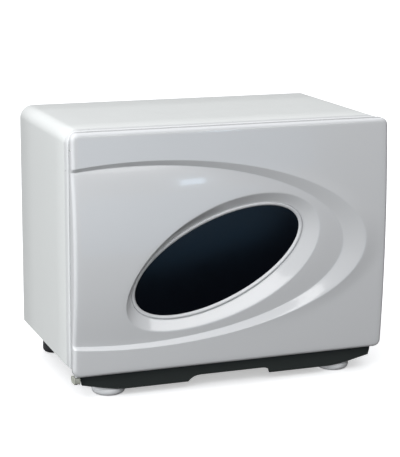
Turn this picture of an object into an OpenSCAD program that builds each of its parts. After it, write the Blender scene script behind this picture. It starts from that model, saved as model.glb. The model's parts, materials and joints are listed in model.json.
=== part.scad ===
// Hot towel cabinet: a heated steel box with a sculpted, side-hinged door, an oval
// window, wire racks, a germicidal lamp and a drip tray that slides out under the door.
// Millimetres, +Z up, front towards -Y. The floor is z = 0 and the origin is the middle
// of the footprint.

/* [Cabinet] */
// Width of the casing
body_w = 450; // [420:1:480]
// Height of the casing, without the feet
body_h = 316; // [300:1:340]
// Depth of the casing, without the door
body_d = 246; // [236:1:280]
// Height of the feet, from the floor to the underside of the casing
feet_h = 44; // [40:1:50]
// Radius between the top and the sides of the casing
casing_r = 18; // [12:1:24]
// Thickness of the casing sheet
sheet_t = 1.2; // [0.8:0.1:1.6]
// Visible depth of the moulded front frame
frame_d = 15; // [12:1:20]

/* [Chamber] */
// Inner width of the towel chamber
chamber_w = 392; // [370:1:394]
// Inner height of the towel chamber
chamber_h = 240; // [225:1:242]
// Height of the chamber floor above the underside of the casing
chamber_up = 36; // [34:1:38]
// Inner depth of the towel chamber
chamber_d = 193; // [185:1:195]

/* [Door] */
// Width of the door
door_w = 448; // [446:0.5:449]
// Height of the door
door_h = 325; // [323:0.5:326]
// How far the door hangs below the casing
door_drop = 9.5; // [9:0.5:10]
// Distance from the casing to the front of the door at its edges
door_t = 15.5; // [15:0.5:18]
// Extra depth of the bowed front at mid height
door_bow = 7; // [5:0.5:8]
// Corner radius of the door, seen from the front
door_corner_r = 10; // [8:1:10]
// Wall thickness of the door skin
skin_t = 2.5; // [2:0.1:3]
// Depth of the recess inside the large sweep
sweep_depth = 3.5; // [2:0.5:4]
// Height of the crowned panel inside the sweep, above the bottom of the recess
crown_h = 6.5; // [5:0.5:7]

/* [Window] */
// Half length of the visible glass
glass_a = 125; // [115:1:126]
// Half width of the visible glass
glass_b = 55; // [48:1:56]
// Tilt of the window, right end up
window_tilt = 23; // [20:1:25]
// Width of the trim ring round the glass
rim_w = 5; // [4:0.5:6]

/* [Tray] */
// Half width of the tray front
tray_front_half = 212.5; // [205:0.5:212.5]
// Travel of the drip tray
tray_travel = 110; // [90:5:115]

/* [Hidden] */
$fn = 48;

// Where the casing front stands, so that the footprint is centred on the origin
door_reach = door_t + door_bow + crown_h - sweep_depth;
rear_out = 4;
depth_all = door_reach + body_d + rear_out;
front_y = door_reach - depth_all / 2;

// Casing and chamber
base_z = feet_h;
top_z = base_z + body_h;
chamber_z = base_z + chamber_up;
chamber_mid_z = chamber_z + chamber_h / 2;
chamber_r = 12;
liner_t = 1;
face_y = 3;
face_t = 3;
lip_w = 3;
liner_y = face_y + face_t;
chamber_back = liner_y + chamber_d;
flange_w = 10;
back_y = body_d - sheet_t;
rear_flange_y = back_y - sheet_t;
insulation_t = 16;
heater = [300, 150, 3];
heater_y = 100;
thermostat_x = 172;

// Door
door_back = 1.5;
door_z = base_z - door_drop;
door_mid_z = door_z + door_h / 2;
door_chamfer = 3.5;
bow_r = (pow(door_h / 2, 2) + pow(door_bow, 2)) / (2 * door_bow);
bow_steps = 30;
cavity_gap = 6.5;
panel_t = 2;
plug = [372, 228];
plug_out = 9;

// Hinge axis
axis_x = 5.5 - door_w / 2;
axis_y = -6.5;
pin_d = 4;
bush_d = 7;
lower_bush_z = door_z + 5.5;
bush_len = 12;
arm_t = 2;
arm_z = top_z - 24;
arm_gap = 0.3;
arm_r = 5;

// Sweep on the door: outer line, then the foot of the step, as [x, z, a, b]
sweep_outer = [-126, base_z + 150, 318, 126];
sweep_inner = [-142, base_z + 149.5, 301, 119.5];
sweep_steps = 72;

// Window dish and glass: middle points, half axes at the door surface
glass_x = -21;
glass_z = base_z + 134;
dish_x = -10;
dish_z = base_z + 126;
dish_a = 158;
dish_b = 86.5;
dish_tilt = 28;
dish_front_y = -(door_t + door_bow + 1);
glass_y = -9.5;
glass_t = 4;
glass_edge = 9;
rim_t = 2.5;

// Switches, inlet and the other electrical parts on the back panel
service_z = base_z + 34;
inlet_x = -165;
inlet_size = [50, 31];
switch_xs = [-110, -78];
switch_hole = [13, 19];
rocker_tilt = 9;
ballast_x = -95;
ballast_z = 220;
starter_x = 40;
starter_z = 220;
terminal_x = 10;
terminal_z = service_z;
heater_lead_x = terminal_x - 12;
lamp_y = chamber_back - 17;
lamp_z = chamber_z + chamber_h - 17;
lamp_len = 136;
wire_d = 2.6;

// Door switch and magnetic catch on the front frame
door_switch = [190, top_z - 14];
plunger_d = 4;
catch_at = [213, chamber_mid_z];
catch_size = [11, 40];

// Racks
rack_levels = [chamber_z + 22, chamber_z + 122];
rack_wire = 4;
rack_bar = 2.6;
rack_front = 18;
rack_back = chamber_back - 7;
rack_half = chamber_w / 2 - 3;
stud_ys = [45, 160];

// Feet, rails and drip tray
front_foot = [166, 20.5];
rear_foot = [188, 221];
rail_x = 139;
rail_t = 1.5;
rail_z = 26;
rail_len = tray_travel + 60;
tray_half = 128;
tray_len = 150;
tray_bottom = 18;
tray_top = 29;
tray_wall = 2;
tray_front_y = -5;
tray_front_t = 3;
tray_front_top = door_z - 1.5;

// Fasteners
screw_d = 3;
screw_head = 6;
back_screw_x = body_w / 2 - 6.5;
back_screw_zs = [base_z + 20, base_z + 110, base_z + 200, base_z + 280];
base_screw_ys = [40, 125, 215];
hinge_leaf_zs = [arm_z - 12, arm_z - 30];
lower_leaf_x = axis_x + 10.5;
lower_leaf_ys = [19, 26];
rail_screw_ys = [30, 150];
door_screw_at = [[-150, 66], [0, 66], [150, 66], [-150, 334], [0, 334], [150, 334]];

// ---------------------------------------------------------------- helpers

// Moves a part from casing coordinates (y = 0 at the casing front) to the origin
module from_front() translate([0, front_y, 0]) children();

// Extrudes an outline drawn in X and Z along Y, from y0 over a depth
module along_y(y0, depth)
    translate([0, y0 + depth, 0]) rotate([90, 0, 0]) linear_extrude(depth) children();

// A rectangle with rounded corners, centred at [0, z]
module rounded_rect(w, h, r, z = 0) translate([0, z]) {
    square([w - 2 * r, h], center = true);
    square([w, h - 2 * r], center = true);
    for (x = [-1, 1], y = [-1, 1]) translate([x * (w / 2 - r), y * (h / 2 - r)]) circle(r);
}

// Front outline of the casing, rounded at its two top corners
module casing_outline(inset = 0) {
    r = casing_r - inset;
    w = body_w - 2 * inset;
    translate([-w / 2, base_z + inset]) square([w, body_h - 2 * inset - r]);
    translate([r - w / 2, base_z + inset]) square([w - 2 * r, body_h - 2 * inset]);
    for (x = [-1, 1]) translate([x * (w / 2 - r), top_z - inset - r]) circle(r);
}

module door_outline(inset = 0)
    rounded_rect(door_w - 2 * inset, door_h - 2 * inset, door_corner_r - inset, door_mid_z);

function ellipse_points(a, b, n = sweep_steps) =
    [for (i = [0:n - 1]) [a * cos(360 * i / n), b * sin(360 * i / n)]];

function turned(p, tilt) = [p.x * cos(tilt) - p.y * sin(tilt), p.x * sin(tilt) + p.y * cos(tilt)];

// The window outline, grown by a margin
module window_outline(margin = 0)
    translate([glass_x, glass_z]) rotate(window_tilt)
        polygon(ellipse_points(glass_a + margin, glass_b + margin));

// A solid through rings of points, each in front of the one before it, closed at both
// ends by a fan of triangles round a middle point
module ring_solid(rings, first_mid, last_mid) {
    n = len(rings[0]);
    last = (len(rings) - 1) * n;
    points = concat([for (ring = rings, p = ring) p], [first_mid, last_mid]);
    sides = [for (k = [0:len(rings) - 2], i = [0:n - 1]) let (j = (i + 1) % n)
        each [[k * n + j, k * n + i, (k + 1) * n + i], [(k + 1) * n + j, k * n + j, (k + 1) * n + i]]];
    first_fan = [for (i = [0:n - 1]) [i, (i + 1) % n, last + n]];
    last_fan = [for (i = [0:n - 1]) [last + (i + 1) % n, last + i, last + n + 1]];
    polyhedron(points, concat(sides, first_fan, last_fan), convexity = 4);
}

// A screw whose head rests on y = 0 and whose shank runs towards +Y
module screw(len, head = screw_head, head_h = 1.5) rotate([90, 0, 0]) {
    difference() {
        cylinder(d = head, h = head_h);
        translate([0, 0, head_h - 0.8]) for (a = [0, 90]) rotate(a) translate([-1.8, -0.3, 0])
            cube([3.6, 0.6, 2]);
    }
    translate([0, 0, -len]) cylinder(d = screw_d, h = len);
}

module screw_hole(len) rotate([-90, 0, 0]) translate([0, 0, -1]) cylinder(d = screw_d + 0.1, h = len + 1);

// A straight rod between two points
module rod(a, b, d, sides = 24) {
    v = b - a;
    translate(a) rotate([0, acos(v.z / norm(v)), atan2(v.y, v.x)]) cylinder(d = d, h = norm(v), $fn = sides);
}

// A lead through a list of points: eight-sided rods that run a little past each bend
module lead(points, d) for (i = [1:len(points) - 1]) {
    step = points[i] - points[i - 1];
    past = 0.45 * d * step / norm(step);
    start = points[i - 1] - (i > 1 ? past : [0, 0, 0]);
    end = points[i] + (i < len(points) - 1 ? past : [0, 0, 0]);
    rod(start, end, d, 8);
}

// ---------------------------------------------------------------- casing

module back_screw_places()
    for (side = [-1, 1], z = back_screw_zs) translate([side * back_screw_x, 0, z]) children();

module base_screw_places()
    for (side = [-1, 1], y = base_screw_ys) translate([side * (body_w / 2 - 8), y, 0]) children();

module casing_wrap() color("whitesmoke") from_front() difference() {
    union() {
        along_y(frame_d, body_d - frame_d) difference() {
            casing_outline();
            casing_outline(sheet_t);
            translate([-body_w / 2 + sheet_t, base_z - 1]) square([body_w - 2 * sheet_t, 5]);
        }
        along_y(rear_flange_y, sheet_t) difference() {
            casing_outline(sheet_t / 2);
            casing_outline(flange_w);
            translate([-body_w / 2 + flange_w, base_z - 1]) square([body_w - 2 * flange_w, flange_w + 2]);
            translate([-body_w / 2, base_z - 1]) square([body_w, 1 + sheet_t]);
        }
        for (side = [-1, 1])
            translate([side > 0 ? body_w / 2 - 14 : -body_w / 2 + 0.5, frame_d, base_z + sheet_t])
                cube([13.5, rear_flange_y - frame_d, sheet_t]);
    }
    back_screw_places() translate([0, rear_flange_y - 1, 0]) screw_hole(5);
    base_screw_places() cylinder(d = screw_d + 0.1, h = base_z + 10);
}

module front_frame() color("white") from_front() difference() {
    along_y(0, frame_d) casing_outline();
    along_y(-1, 1 + face_y) casing_outline(lip_w);
    along_y(liner_y, frame_d) casing_outline(lip_w);
    along_y(0, frame_d) rounded_rect(chamber_w, chamber_h, chamber_r, chamber_mid_z);
    translate([catch_at.x, 0, catch_at.y]) cube([catch_size.x, 30, catch_size.y], center = true);
    translate([door_switch.x, 0, door_switch.y]) rotate([-90, 0, 0])
        cylinder(d = plunger_d + 0.1, h = 20);
    for (z = hinge_leaf_zs) translate([axis_x + 7, 0, z]) screw_hole(20);
}

module base_pan() color("gainsboro") from_front() difference() {
    union() {
        translate([-body_w / 2 + sheet_t + 0.2, frame_d, base_z])
            cube([body_w - 2 * sheet_t - 0.4, back_y - frame_d, sheet_t]);
        for (y = [frame_d, rear_flange_y - sheet_t - 0.2])
            translate([-205, y, base_z]) cube([410, sheet_t, 10]);
    }
    base_screw_places() cylinder(d = screw_d + 0.1, h = base_z + 10);
    for (x = [-1, 1], f = [front_foot, rear_foot]) translate([x * f.x, f.y, base_z - 1])
        cylinder(d = 4.1, h = 5);
    for (x = [-1, 1], y = rail_screw_ys) translate([x * (rail_x - 8), y, base_z - 1])
        cylinder(d = screw_d + 0.1, h = 5);
    for (y = lower_leaf_ys) translate([lower_leaf_x, y, base_z - 1]) cylinder(d = screw_d + 0.1, h = 5);
    // cooling slots under the heater
    for (x = [-90:20:90]) translate([x - 2, 170, base_z - 1]) cube([4, 50, 5]);
}

module back_panel() color("whitesmoke") from_front() difference() {
    along_y(back_y, sheet_t) difference() {
        casing_outline(sheet_t + 0.2);
        // louvre slots, in two banks behind the ballast and above the switches
        for (x = [-150:12:-30], z = [262, 296]) translate([x, z]) square([4, 26]);
        for (x = [30:12:150], z = [262, 296]) translate([x, z]) square([4, 26]);
        for (x = switch_xs) translate([x, service_z]) square(switch_hole, center = true);
        translate([inlet_x, service_z]) square([28.4, 20.4], center = true);
    }
    back_screw_places() translate([0, rear_flange_y - 1, 0]) screw_hole(6);
    for (x = [-20, 20]) translate([inlet_x + x, back_y - 1, service_z]) screw_hole(5);
}

module back_panel_screws() color("silver") from_front() {
    back_screw_places() translate([0, body_d, 0]) mirror([0, 1, 0]) screw(6);
    for (x = [-20, 20]) translate([inlet_x + x, body_d + 3, service_z])
        mirror([0, 1, 0]) screw(7, 5, 1);
}

module base_screws() color("silver") from_front()
    base_screw_places() translate([0, 0, base_z]) rotate([90, 0, 0]) screw(5);

// ---------------------------------------------------------------- chamber

module inner_liner() color("lightgray") from_front() difference() {
    union() {
        along_y(liner_y, chamber_d + liner_t)
            rounded_rect(chamber_w + 2 * liner_t, chamber_h + 2 * liner_t, chamber_r + liner_t,
                chamber_mid_z);
        along_y(liner_y, liner_t)
            rounded_rect(chamber_w + 18, chamber_h + 18, chamber_r + 9, chamber_mid_z);
    }
    along_y(liner_y - 1, chamber_d + 1) rounded_rect(chamber_w, chamber_h, chamber_r, chamber_mid_z);
    for (x = [-1, 1]) translate([x * lamp_len / 2, chamber_back - 1, lamp_z]) rotate([-90, 0, 0])
        cylinder(d = 6, h = 5);
}

module liner_insulation() color("khaki") from_front() difference() {
    along_y(liner_y + 6, chamber_d - 10) difference() {
        rounded_rect(chamber_w + 2 * insulation_t + 2, chamber_h + 2 * insulation_t + 2, chamber_r + 9,
            chamber_mid_z);
        rounded_rect(chamber_w + 2 * liner_t + 0.4, chamber_h + 2 * liner_t + 0.4, chamber_r + liner_t,
            chamber_mid_z);
    }
    translate([0, heater_y, chamber_z - 3]) cube([heater.x + 4, heater.y + 4, 8], center = true);
    translate([thermostat_x, heater_y, base_z]) cylinder(d = 24, h = chamber_up);
    translate([heater_lead_x, heater_y, base_z]) cylinder(d = 6, h = chamber_up);
}

module heater_mat() color("orangered") from_front() {
    translate([-heater.x / 2, heater_y - heater.y / 2, chamber_z - liner_t - heater.z]) cube(heater);
    // the lead pads
    for (x = [-4, 24]) translate([heater_lead_x + x, heater_y - 10, chamber_z - liner_t - heater.z - 2])
        cube([8, 20, 2]);
}

module thermostat() color("dimgray") from_front()
    translate([thermostat_x, heater_y, chamber_z - liner_t - 9]) {
        cylinder(d = 16, h = 9);
        translate([0, 0, 7.5]) cylinder(d = 22, h = 1.5);
        for (y = [-1, 1]) translate([-3, y * 5 - 0.4, -6]) cube([6, 0.8, 6.5]);
    }

module rack_studs() color("silver") from_front()
    for (side = [-1, 1], level = rack_levels, y = stud_ys)
        translate([side * chamber_w / 2, y, level - rack_wire / 2 - 0.3 - 3]) rotate([0, -90 * side, 0]) {
            cylinder(d = 6, h = 9);
            translate([0, 0, 9]) cylinder(d = 8, h = 1.5);
        }

// One wire rack: a bent frame with bars welded across it
module wire_rack(level) color("silver") from_front() translate([0, 0, level]) {
    r = 10;
    x = rack_half - rack_wire / 2;
    y0 = rack_front + rack_wire / 2;
    y1 = rack_back - rack_wire / 2;
    for (y = [y0, y1]) rod([r - x, y, 0], [x - r, y, 0], rack_wire);
    for (s = [-1, 1]) rod([s * x, y0 + r, 0], [s * x, y1 - r, 0], rack_wire);
    for (c = [[x - r, y1 - r, 0], [r - x, y1 - r, 90], [r - x, y0 + r, 180], [x - r, y0 + r, 270]])
        translate([c.x, c.y, 0]) rotate(c.z) rotate_extrude(angle = 90)
            translate([r, 0]) circle(d = rack_wire);
    bars = 17;
    for (i = [0:bars - 1]) let (bx = (x - 14) * (2 * i / (bars - 1) - 1))
        rod([bx, y0, rack_wire / 2 + 0.9], [bx, y1, rack_wire / 2 + 0.9], rack_bar);
    rod([-x, (y0 + y1) / 2, 0], [x, (y0 + y1) / 2, 0], rack_wire - 0.6);
}

module lower_rack() wire_rack(rack_levels[0]);

module upper_rack() wire_rack(rack_levels[1]);

// ---------------------------------------------------------------- germicidal lamp

module lamp_tube() color("aliceblue") from_front() translate([0, lamp_y, lamp_z]) rotate([0, 90, 0]) {
    cylinder(d = 15.5, h = lamp_len - 14, center = true);
    for (s = [-1, 1]) translate([0, 0, s * (lamp_len / 2 - 3.5)]) cylinder(d = 16, h = 7, center = true);
}

module lamp_holders() color("ivory") from_front() for (s = [-1, 1])
    translate([s * (lamp_len / 2 + 5), lamp_y, lamp_z]) {
        cube([10, 20, 22], center = true);
        translate([0, (chamber_back - lamp_y) / 2, 0]) cube([8, chamber_back - lamp_y, 14], center = true);
    }

// Bent sheet guard with slots, fixed to the rear wall of the chamber
module lamp_guard() color("lightsteelblue") from_front() difference() {
    translate([-95, 0, 0]) rotate([90, 0, 90]) linear_extrude(190) difference() {
        guard_profile(0);
        guard_profile(1.2);
    }
    for (x = [-84:12:80]) translate([x, lamp_y - 40, lamp_z - 10]) cube([6, 60, 20]);
    for (x = [-84:12:80]) translate([x, lamp_y - 8, lamp_z - 40]) cube([6, 16, 60]);
}

module guard_profile(inset) polygon([
    [chamber_back + (inset > 0 ? 1 : 0), lamp_z - 15 + inset],
    [lamp_y - 12 + inset / 2, lamp_z - 15 + inset],
    [lamp_y - 15 + inset, lamp_z - 12 + inset / 2],
    [lamp_y - 15 + inset, lamp_z + 13 - inset],
    [chamber_back + (inset > 0 ? 1 : 0), lamp_z + 13 - inset]]);

module lamp_ballast() color("slategray") from_front() translate([ballast_x, rear_flange_y, ballast_z]) {
    translate([-42, sheet_t - 2, -14]) cube([84, 2, 28]);
    translate([-28, sheet_t - 26, -17]) cube([56, 24.5, 34]);
    translate([-33, sheet_t - 23, -11]) cube([66, 17, 22]);
}

module lamp_starter() color("white") from_front() translate([starter_x, back_y, starter_z]) {
    translate([-16, -8, -16]) cube([32, 8, 32]);
    rotate([90, 0, 0]) cylinder(d = 21, h = 36);
}

module terminal_block() color("ivory") from_front() translate([terminal_x, back_y, terminal_z]) difference() {
    union() {
        translate([-30, -6, -9]) cube([60, 6, 18]);
        for (i = [-2:2]) translate([i * 12 - 5, -16, -7]) cube([10, 11, 14]);
    }
    for (i = [-2:2]) translate([i * 12, -12, 0]) {
        rotate([90, 0, 0]) cylinder(d = 4, h = 5);
        cylinder(d = wire_d + 0.1, h = 30, center = true);
    }
}

// ---------------------------------------------------------------- inlet and switches

module power_inlet() color("black") from_front() translate([inlet_x, body_d, service_z]) difference() {
    union() {
        along_y(0, 3) rounded_rect(inlet_size.x, inlet_size.y - 7, 4);
        along_y(3, 1) rounded_rect(31, 23, 3);
        along_y(-22, 23) rounded_rect(28, 20, 3);
        for (x = [-7, 0, 7]) translate([x - 2.4, -30, x == 0 ? 2 : -4]) cube([4.8, 9, 0.8]);
    }
    // the socket cavity, with its three pins left standing
    difference() {
        along_y(-16, 30) rounded_rect(24.4, 16.6, 3);
        for (x = [-7, 0, 7]) translate([x - 1, -17, x == 0 ? 0 : -4]) cube([2, 15, 4]);
    }
    for (x = [-20, 20]) translate([x, -1, 0]) screw_hole(6);
}

module switch_housing(x) color("black") from_front() translate([x, body_d, service_z]) difference() {
    union() {
        along_y(0, 1.6) rounded_rect(15, 21, 1.5);
        along_y(-18, 19) square([12.6, 18.6], center = true);
        for (z = [-6, 0, 6]) translate([-2.4, -26, z - 0.4]) cube([4.8, 9, 0.8]);
    }
    along_y(-10, 20) square([10.2, 15.6], center = true);
}

// A rocker drawn in its off position: its lower half stands proud
module rocker(x) color("firebrick") from_front() translate([x, body_d, service_z]) rotate([rocker_tilt, 0, 0])
    intersection() {
        rotate([0, 90, 0]) cylinder(r = 7.3, h = 9.6, center = true);
        translate([-5, -6, -8]) cube([10, 8.2, 16]);
        rotate([-90, 0, 0]) translate([0, 0, -7]) difference() {
            cylinder(r = 12, h = 14);
            translate([-6, 0, 20.2]) rotate([0, 90, 0]) cylinder(r = 12, h = 12);
        }
    }

module heat_switch_housing() switch_housing(switch_xs[0]);

module lamp_switch_housing() switch_housing(switch_xs[1]);

module heat_rocker() rocker(switch_xs[0]);

module lamp_rocker() rocker(switch_xs[1]);

// Leads from the inlet to the switches, the terminal block, the ballast and the heater
module wiring_harness() color("goldenrod") from_front() {
    lead_y = body_d - 26;
    run_y = body_d - 35;
    post_y = back_y - 12;
    tz = terminal_z;
    // two switch leads, side by side
    for (k = [0, 1]) let (
        x = switch_xs[k],
        y = run_y + 4 * k,
        z = tz + 24 + 5 * k,
        end_x = terminal_x - 24 + 12 * k)
        lead([[x, lead_y, tz + 6], [x, y, tz + 6], [x, y, z], [end_x, y, z], [end_x, post_y, z],
            [end_x, post_y, tz + 4]], wire_d);
    // the inlet lead passes above them
    lead([[inlet_x - 7, body_d - 30, tz - 3.6], [inlet_x - 7, run_y - 4, tz - 3.6],
        [inlet_x - 7, run_y - 4, tz + 36], [terminal_x, run_y - 4, tz + 36],
        [terminal_x, post_y, tz + 36], [terminal_x, post_y, tz + 4]], wire_d);
    lead([[terminal_x + 12, post_y, tz + 4], [terminal_x + 12, post_y, tz + 60],
        [ballast_x + 60, post_y, ballast_z], [ballast_x + 33, post_y, ballast_z]], wire_d);
    lead([[heater_lead_x, post_y, tz - 4], [heater_lead_x, post_y, base_z + 8],
        [heater_lead_x, heater_y, base_z + 8],
        [heater_lead_x, heater_y, chamber_z - liner_t - heater.z - 2]], wire_d);
}

// ---------------------------------------------------------------- door switch and catch

module door_switch_housing() color("black") from_front()
    translate([door_switch.x, liner_y, door_switch.y]) difference() {
        translate([-10, 0, -5]) cube([20, 16, 10]);
        rotate([-90, 0, 0]) translate([0, 0, -1]) cylinder(d = plunger_d + 0.1, h = 12);
    }

module door_switch_plunger() color("red") from_front()
    translate([door_switch.x, 0.2 - door_back, door_switch.y]) rotate([-90, 0, 0]) {
        cylinder(d = plunger_d, h = liner_y + door_back + 6);
    }

module catch_magnet() color("dimgray") from_front() translate([catch_at.x, 0, catch_at.y]) {
    translate([-catch_size.x / 2 + 0.1, 0.3, -catch_size.y / 2 + 0.1])
        cube([catch_size.x - 0.2, liner_y - 0.3, catch_size.y - 0.2]);
    translate([-catch_size.x / 2, liner_y, -catch_size.y / 2 - 3]) cube([8, 1.5, catch_size.y + 6]);
}

// ---------------------------------------------------------------- hinges

module lower_hinge_bracket() color("darkgray") from_front() difference() {
    union() {
        // lug under the pin
        translate([-222, 0, 0]) rotate([90, 0, 90]) linear_extrude(8) union() {
            translate([-9, door_z - 10.5]) square([13, 10]);
            translate([-12, door_z - 7.5]) square([18, 7]);
            for (y = [-9, 3]) translate([y, door_z - 7.5]) circle(3);
        }
        // arm behind the tray front, and the riser to the base
        translate([-215, 1, door_z - 9.5]) cube([9, 15, 8]);
        translate([-213, 7, door_z - 9.5]) cube([7, 9, base_z - door_z + 9.5]);
        translate([-213, 7, base_z - 3]) cube([12, 23, 3]);
    }
    translate([axis_x, axis_y, door_z - 12]) cylinder(d = pin_d, h = 20);
    for (y = lower_leaf_ys) translate([lower_leaf_x, y, base_z - 4]) cylinder(d = screw_d + 0.1, h = 5);
}

module lower_hinge_pin() color("silver") from_front() translate([axis_x, axis_y, door_z - 10.5])
    cylinder(d = pin_d, h = lower_bush_z + bush_len - door_z + 10.5);

module upper_hinge_bracket() color("white") from_front() difference() {
    union() {
        translate([axis_x, axis_y, arm_z]) cylinder(r = arm_r, h = arm_t);
        translate([axis_x - 3, axis_y, arm_z]) cube([arm_r + 3, face_y - axis_y, arm_t]);
        translate([axis_x - 3, face_y - 1.5, arm_z - 40]) cube([16, 1.5, 40 + arm_t]);
    }
    translate([axis_x, axis_y, arm_z - 1]) cylinder(d = pin_d, h = arm_t + 2);
    for (z = hinge_leaf_zs) translate([axis_x + 7, 0, z]) screw_hole(5);
}

module upper_hinge_pin() color("silver") from_front() translate([axis_x, axis_y, arm_z - bush_len + 0.5])
    cylinder(d = pin_d, h = bush_len + arm_t - 0.5);

module hinge_screws() color("silver") from_front() {
    for (z = hinge_leaf_zs) translate([axis_x + 7, face_y - 1.5, z]) screw(8, 5.5, 1.3);
    for (y = lower_leaf_ys) translate([lower_leaf_x, y, base_z - 3]) rotate([90, 0, 0]) screw(6);
}

module hinge_bushes() color("ivory") from_front()
    for (z = [lower_bush_z, arm_z - bush_len - 0.3]) translate([axis_x, axis_y, z]) difference() {
        cylinder(d = bush_d, h = bush_len);
        translate([0, 0, -1]) cylinder(d = pin_d + 0.1, h = bush_len + 2);
    }

// ---------------------------------------------------------------- door

// The room that the upper hinge arm needs while the door swings
module arm_slot() translate([axis_x, axis_y, arm_z - arm_gap]) {
    cylinder(r = arm_r + 0.6, h = arm_t + 2 * arm_gap);
    translate([-30, 0, 0]) cube([30 + arm_r + 0.6, 30, arm_t + 2 * arm_gap]);
    translate([-30, -arm_r - 0.6, 0]) cube([30, arm_r + 1, arm_t + 2 * arm_gap]);
}

// Everything behind the bowed front surface, set back by a distance
module bowed_block(back = 0) translate([-door_w, 0, 0]) rotate([90, 0, 90]) linear_extrude(2 * door_w)
    polygon(concat([[-door_back, door_z + door_h + 5], [-door_back, door_z - 5]],
        [for (i = [0:bow_steps]) let (z = door_z - 5 + i * (door_h + 10) / bow_steps) [bow_y(z) + back, z]]));

// Depth of the bowed front at a height
function bow_y(z) = bow_r - door_t - door_bow - sqrt(pow(bow_r, 2) - pow(z - door_mid_z, 2));

// One ring of the panel inside the sweep, as a share of the inner line
function crown_ring(share) = [for (p = ellipse_points(sweep_inner[2] * share, sweep_inner[3] * share))
    let (x = sweep_inner.x + p.x, z = sweep_inner.y + p.y)
    [x, bow_y(z) + sweep_depth - crown_h * (1 - share * share), z]];

// One ring that runs a little under the surround, at a fixed depth or just below the surface
function sweep_ring(y) = [for (p = ellipse_points(sweep_outer[2] + 1, sweep_outer[3] + 1))
    [sweep_outer.x + p.x, y == undef ? bow_y(sweep_outer.y + p.y) + 0.4 : y, sweep_outer.y + p.y]];

// The crowned panel inside the sweep, down to the back of the door
module sweep_solid() ring_solid(
    [sweep_ring(-door_back), sweep_ring(), for (share = [1, 0.75, 0.5, 0.25]) crown_ring(share)],
    [sweep_outer.x, -door_back, sweep_outer.y],
    [sweep_inner.x, bow_y(sweep_inner.y) + sweep_depth - crown_h, sweep_inner.y]);

// The hollow that leads down to the window
module dish_void() {
    slope = [for (k = [0, 1.25]) let (y = glass_y - 1.5 + k * (dish_front_y - glass_y + 1.5))
        [for (i = [0:sweep_steps - 1]) let (
            t = 360 * i / sweep_steps,
            g = turned([(glass_a + rim_w + 1) * cos(t), (glass_b + rim_w + 1) * sin(t)], window_tilt),
            d = turned([dish_a * cos(t), dish_b * sin(t)], dish_tilt),
            x = (glass_x + g.x) * (1 - k) + (dish_x + d.x) * k,
            z = (glass_z + g.y) * (1 - k) + (dish_z + d.y) * k)
            [x, y, z]]];
    ring_solid(slope, [glass_x, slope[0][0].y, glass_z], [dish_x, slope[1][0].y, dish_z]);
}

module dish_outline(margin) translate([dish_x, dish_z]) rotate(dish_tilt)
    polygon(ellipse_points(dish_a + margin, dish_b + margin));

// The foam space inside the door, with a clearance from the skin all round
module door_cavity(clearance = 0) difference() {
    intersection() {
        along_y(-30, 30 - door_back) door_outline(skin_t + clearance);
        bowed_block(cavity_gap + clearance);
    }
    along_y(-31, 32) dish_outline(skin_t + clearance - 6);
    along_y(-31, 32) window_outline(glass_edge + skin_t + clearance);
    for (z = [lower_bush_z, arm_z - bush_len]) translate([axis_x - 10, -20, z - 8 - clearance])
        cube([18 + clearance, 20, bush_len + 16 + 2 * clearance]);
    for (p = door_screw_at) translate([p.x, -20, p.y]) rotate([-90, 0, 0])
        cylinder(d = 8 + 2 * clearance, h = 20);
}

module door_skin() color("white") from_front() difference() {
    intersection() {
        along_y(-40, 40 - door_back) door_outline();
        union() {
            difference() {
                bowed_block();
                along_y(-41, 42) translate([sweep_outer.x, sweep_outer.y])
                    polygon(ellipse_points(sweep_outer[2], sweep_outer[3]));
            }
            sweep_solid();
        }
    }
    dish_void();
    along_y(-30, 40) window_outline(rim_w + 0.3);
    door_cavity();
    // room for the inner panel behind the foam
    along_y(-door_back - panel_t, 5) difference() {
        door_outline(skin_t);
        translate([-door_w / 2 - 5, lower_bush_z - 10]) square([18.5, bush_len + 18]);
        translate([-door_w / 2 - 5, arm_z - bush_len - 8]) square([18.5, bush_len + 18]);
    }
    // seat of the glass behind the trim ring
    along_y(glass_y, 20) window_outline(glass_edge);
    translate([axis_x, axis_y, door_z - 1]) cylinder(d = pin_d + 0.6, h = 20);
    for (z = [lower_bush_z, arm_z - bush_len - 0.3]) translate([axis_x, axis_y, z])
        cylinder(d = bush_d, h = bush_len);
    arm_slot();
    // chamfer that clears the casing as the door swings
    translate([-door_w / 2, -door_back, door_z - 1]) rotate(45)
        cube([door_chamfer * sqrt(2), door_chamfer * sqrt(2), 2 * door_h + 4], center = true);
    for (p = door_screw_at) translate([p.x, -9, p.y]) rotate([-90, 0, 0]) cylinder(d = screw_d + 0.1, h = 20);
}

module door_insulation() color("khaki") from_front() difference() {
    door_cavity(0.4);
    along_y(-door_back - panel_t - 0.1, 10) square([1000, 1000], center = true);
    arm_slot();
}

// Inner panel: a plate inside the rim of the skin, with a shallow pan towards the chamber
module door_inner_panel() color("gainsboro") from_front() difference() {
    union() {
        along_y(-door_back - panel_t, panel_t) difference() {
            door_outline(skin_t + 0.2);
            translate([-door_w / 2 - 5, lower_bush_z - 10.2]) square([18.7, bush_len + 18.4]);
            translate([-door_w / 2 - 5, arm_z - bush_len - 8.2]) square([18.7, bush_len + 18.4]);
        }
        along_y(-door_back - panel_t, door_back + panel_t + plug_out)
            rounded_rect(plug.x, plug.y, 14, chamber_mid_z);
    }
    along_y(-20, 20 + plug_out - panel_t)
        rounded_rect(plug.x - 2 * panel_t, plug.y - 2 * panel_t, 12, chamber_mid_z);
    along_y(-20, 40) window_outline(-2);
    arm_slot();
    for (p = door_screw_at) translate([p.x, -20, p.y]) rotate([-90, 0, 0])
        cylinder(d = screw_d + 0.1, h = 40);
}

module window_rim() color("white") from_front() along_y(glass_y - rim_t, rim_t) difference() {
    window_outline(rim_w);
    window_outline(0);
}

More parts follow.
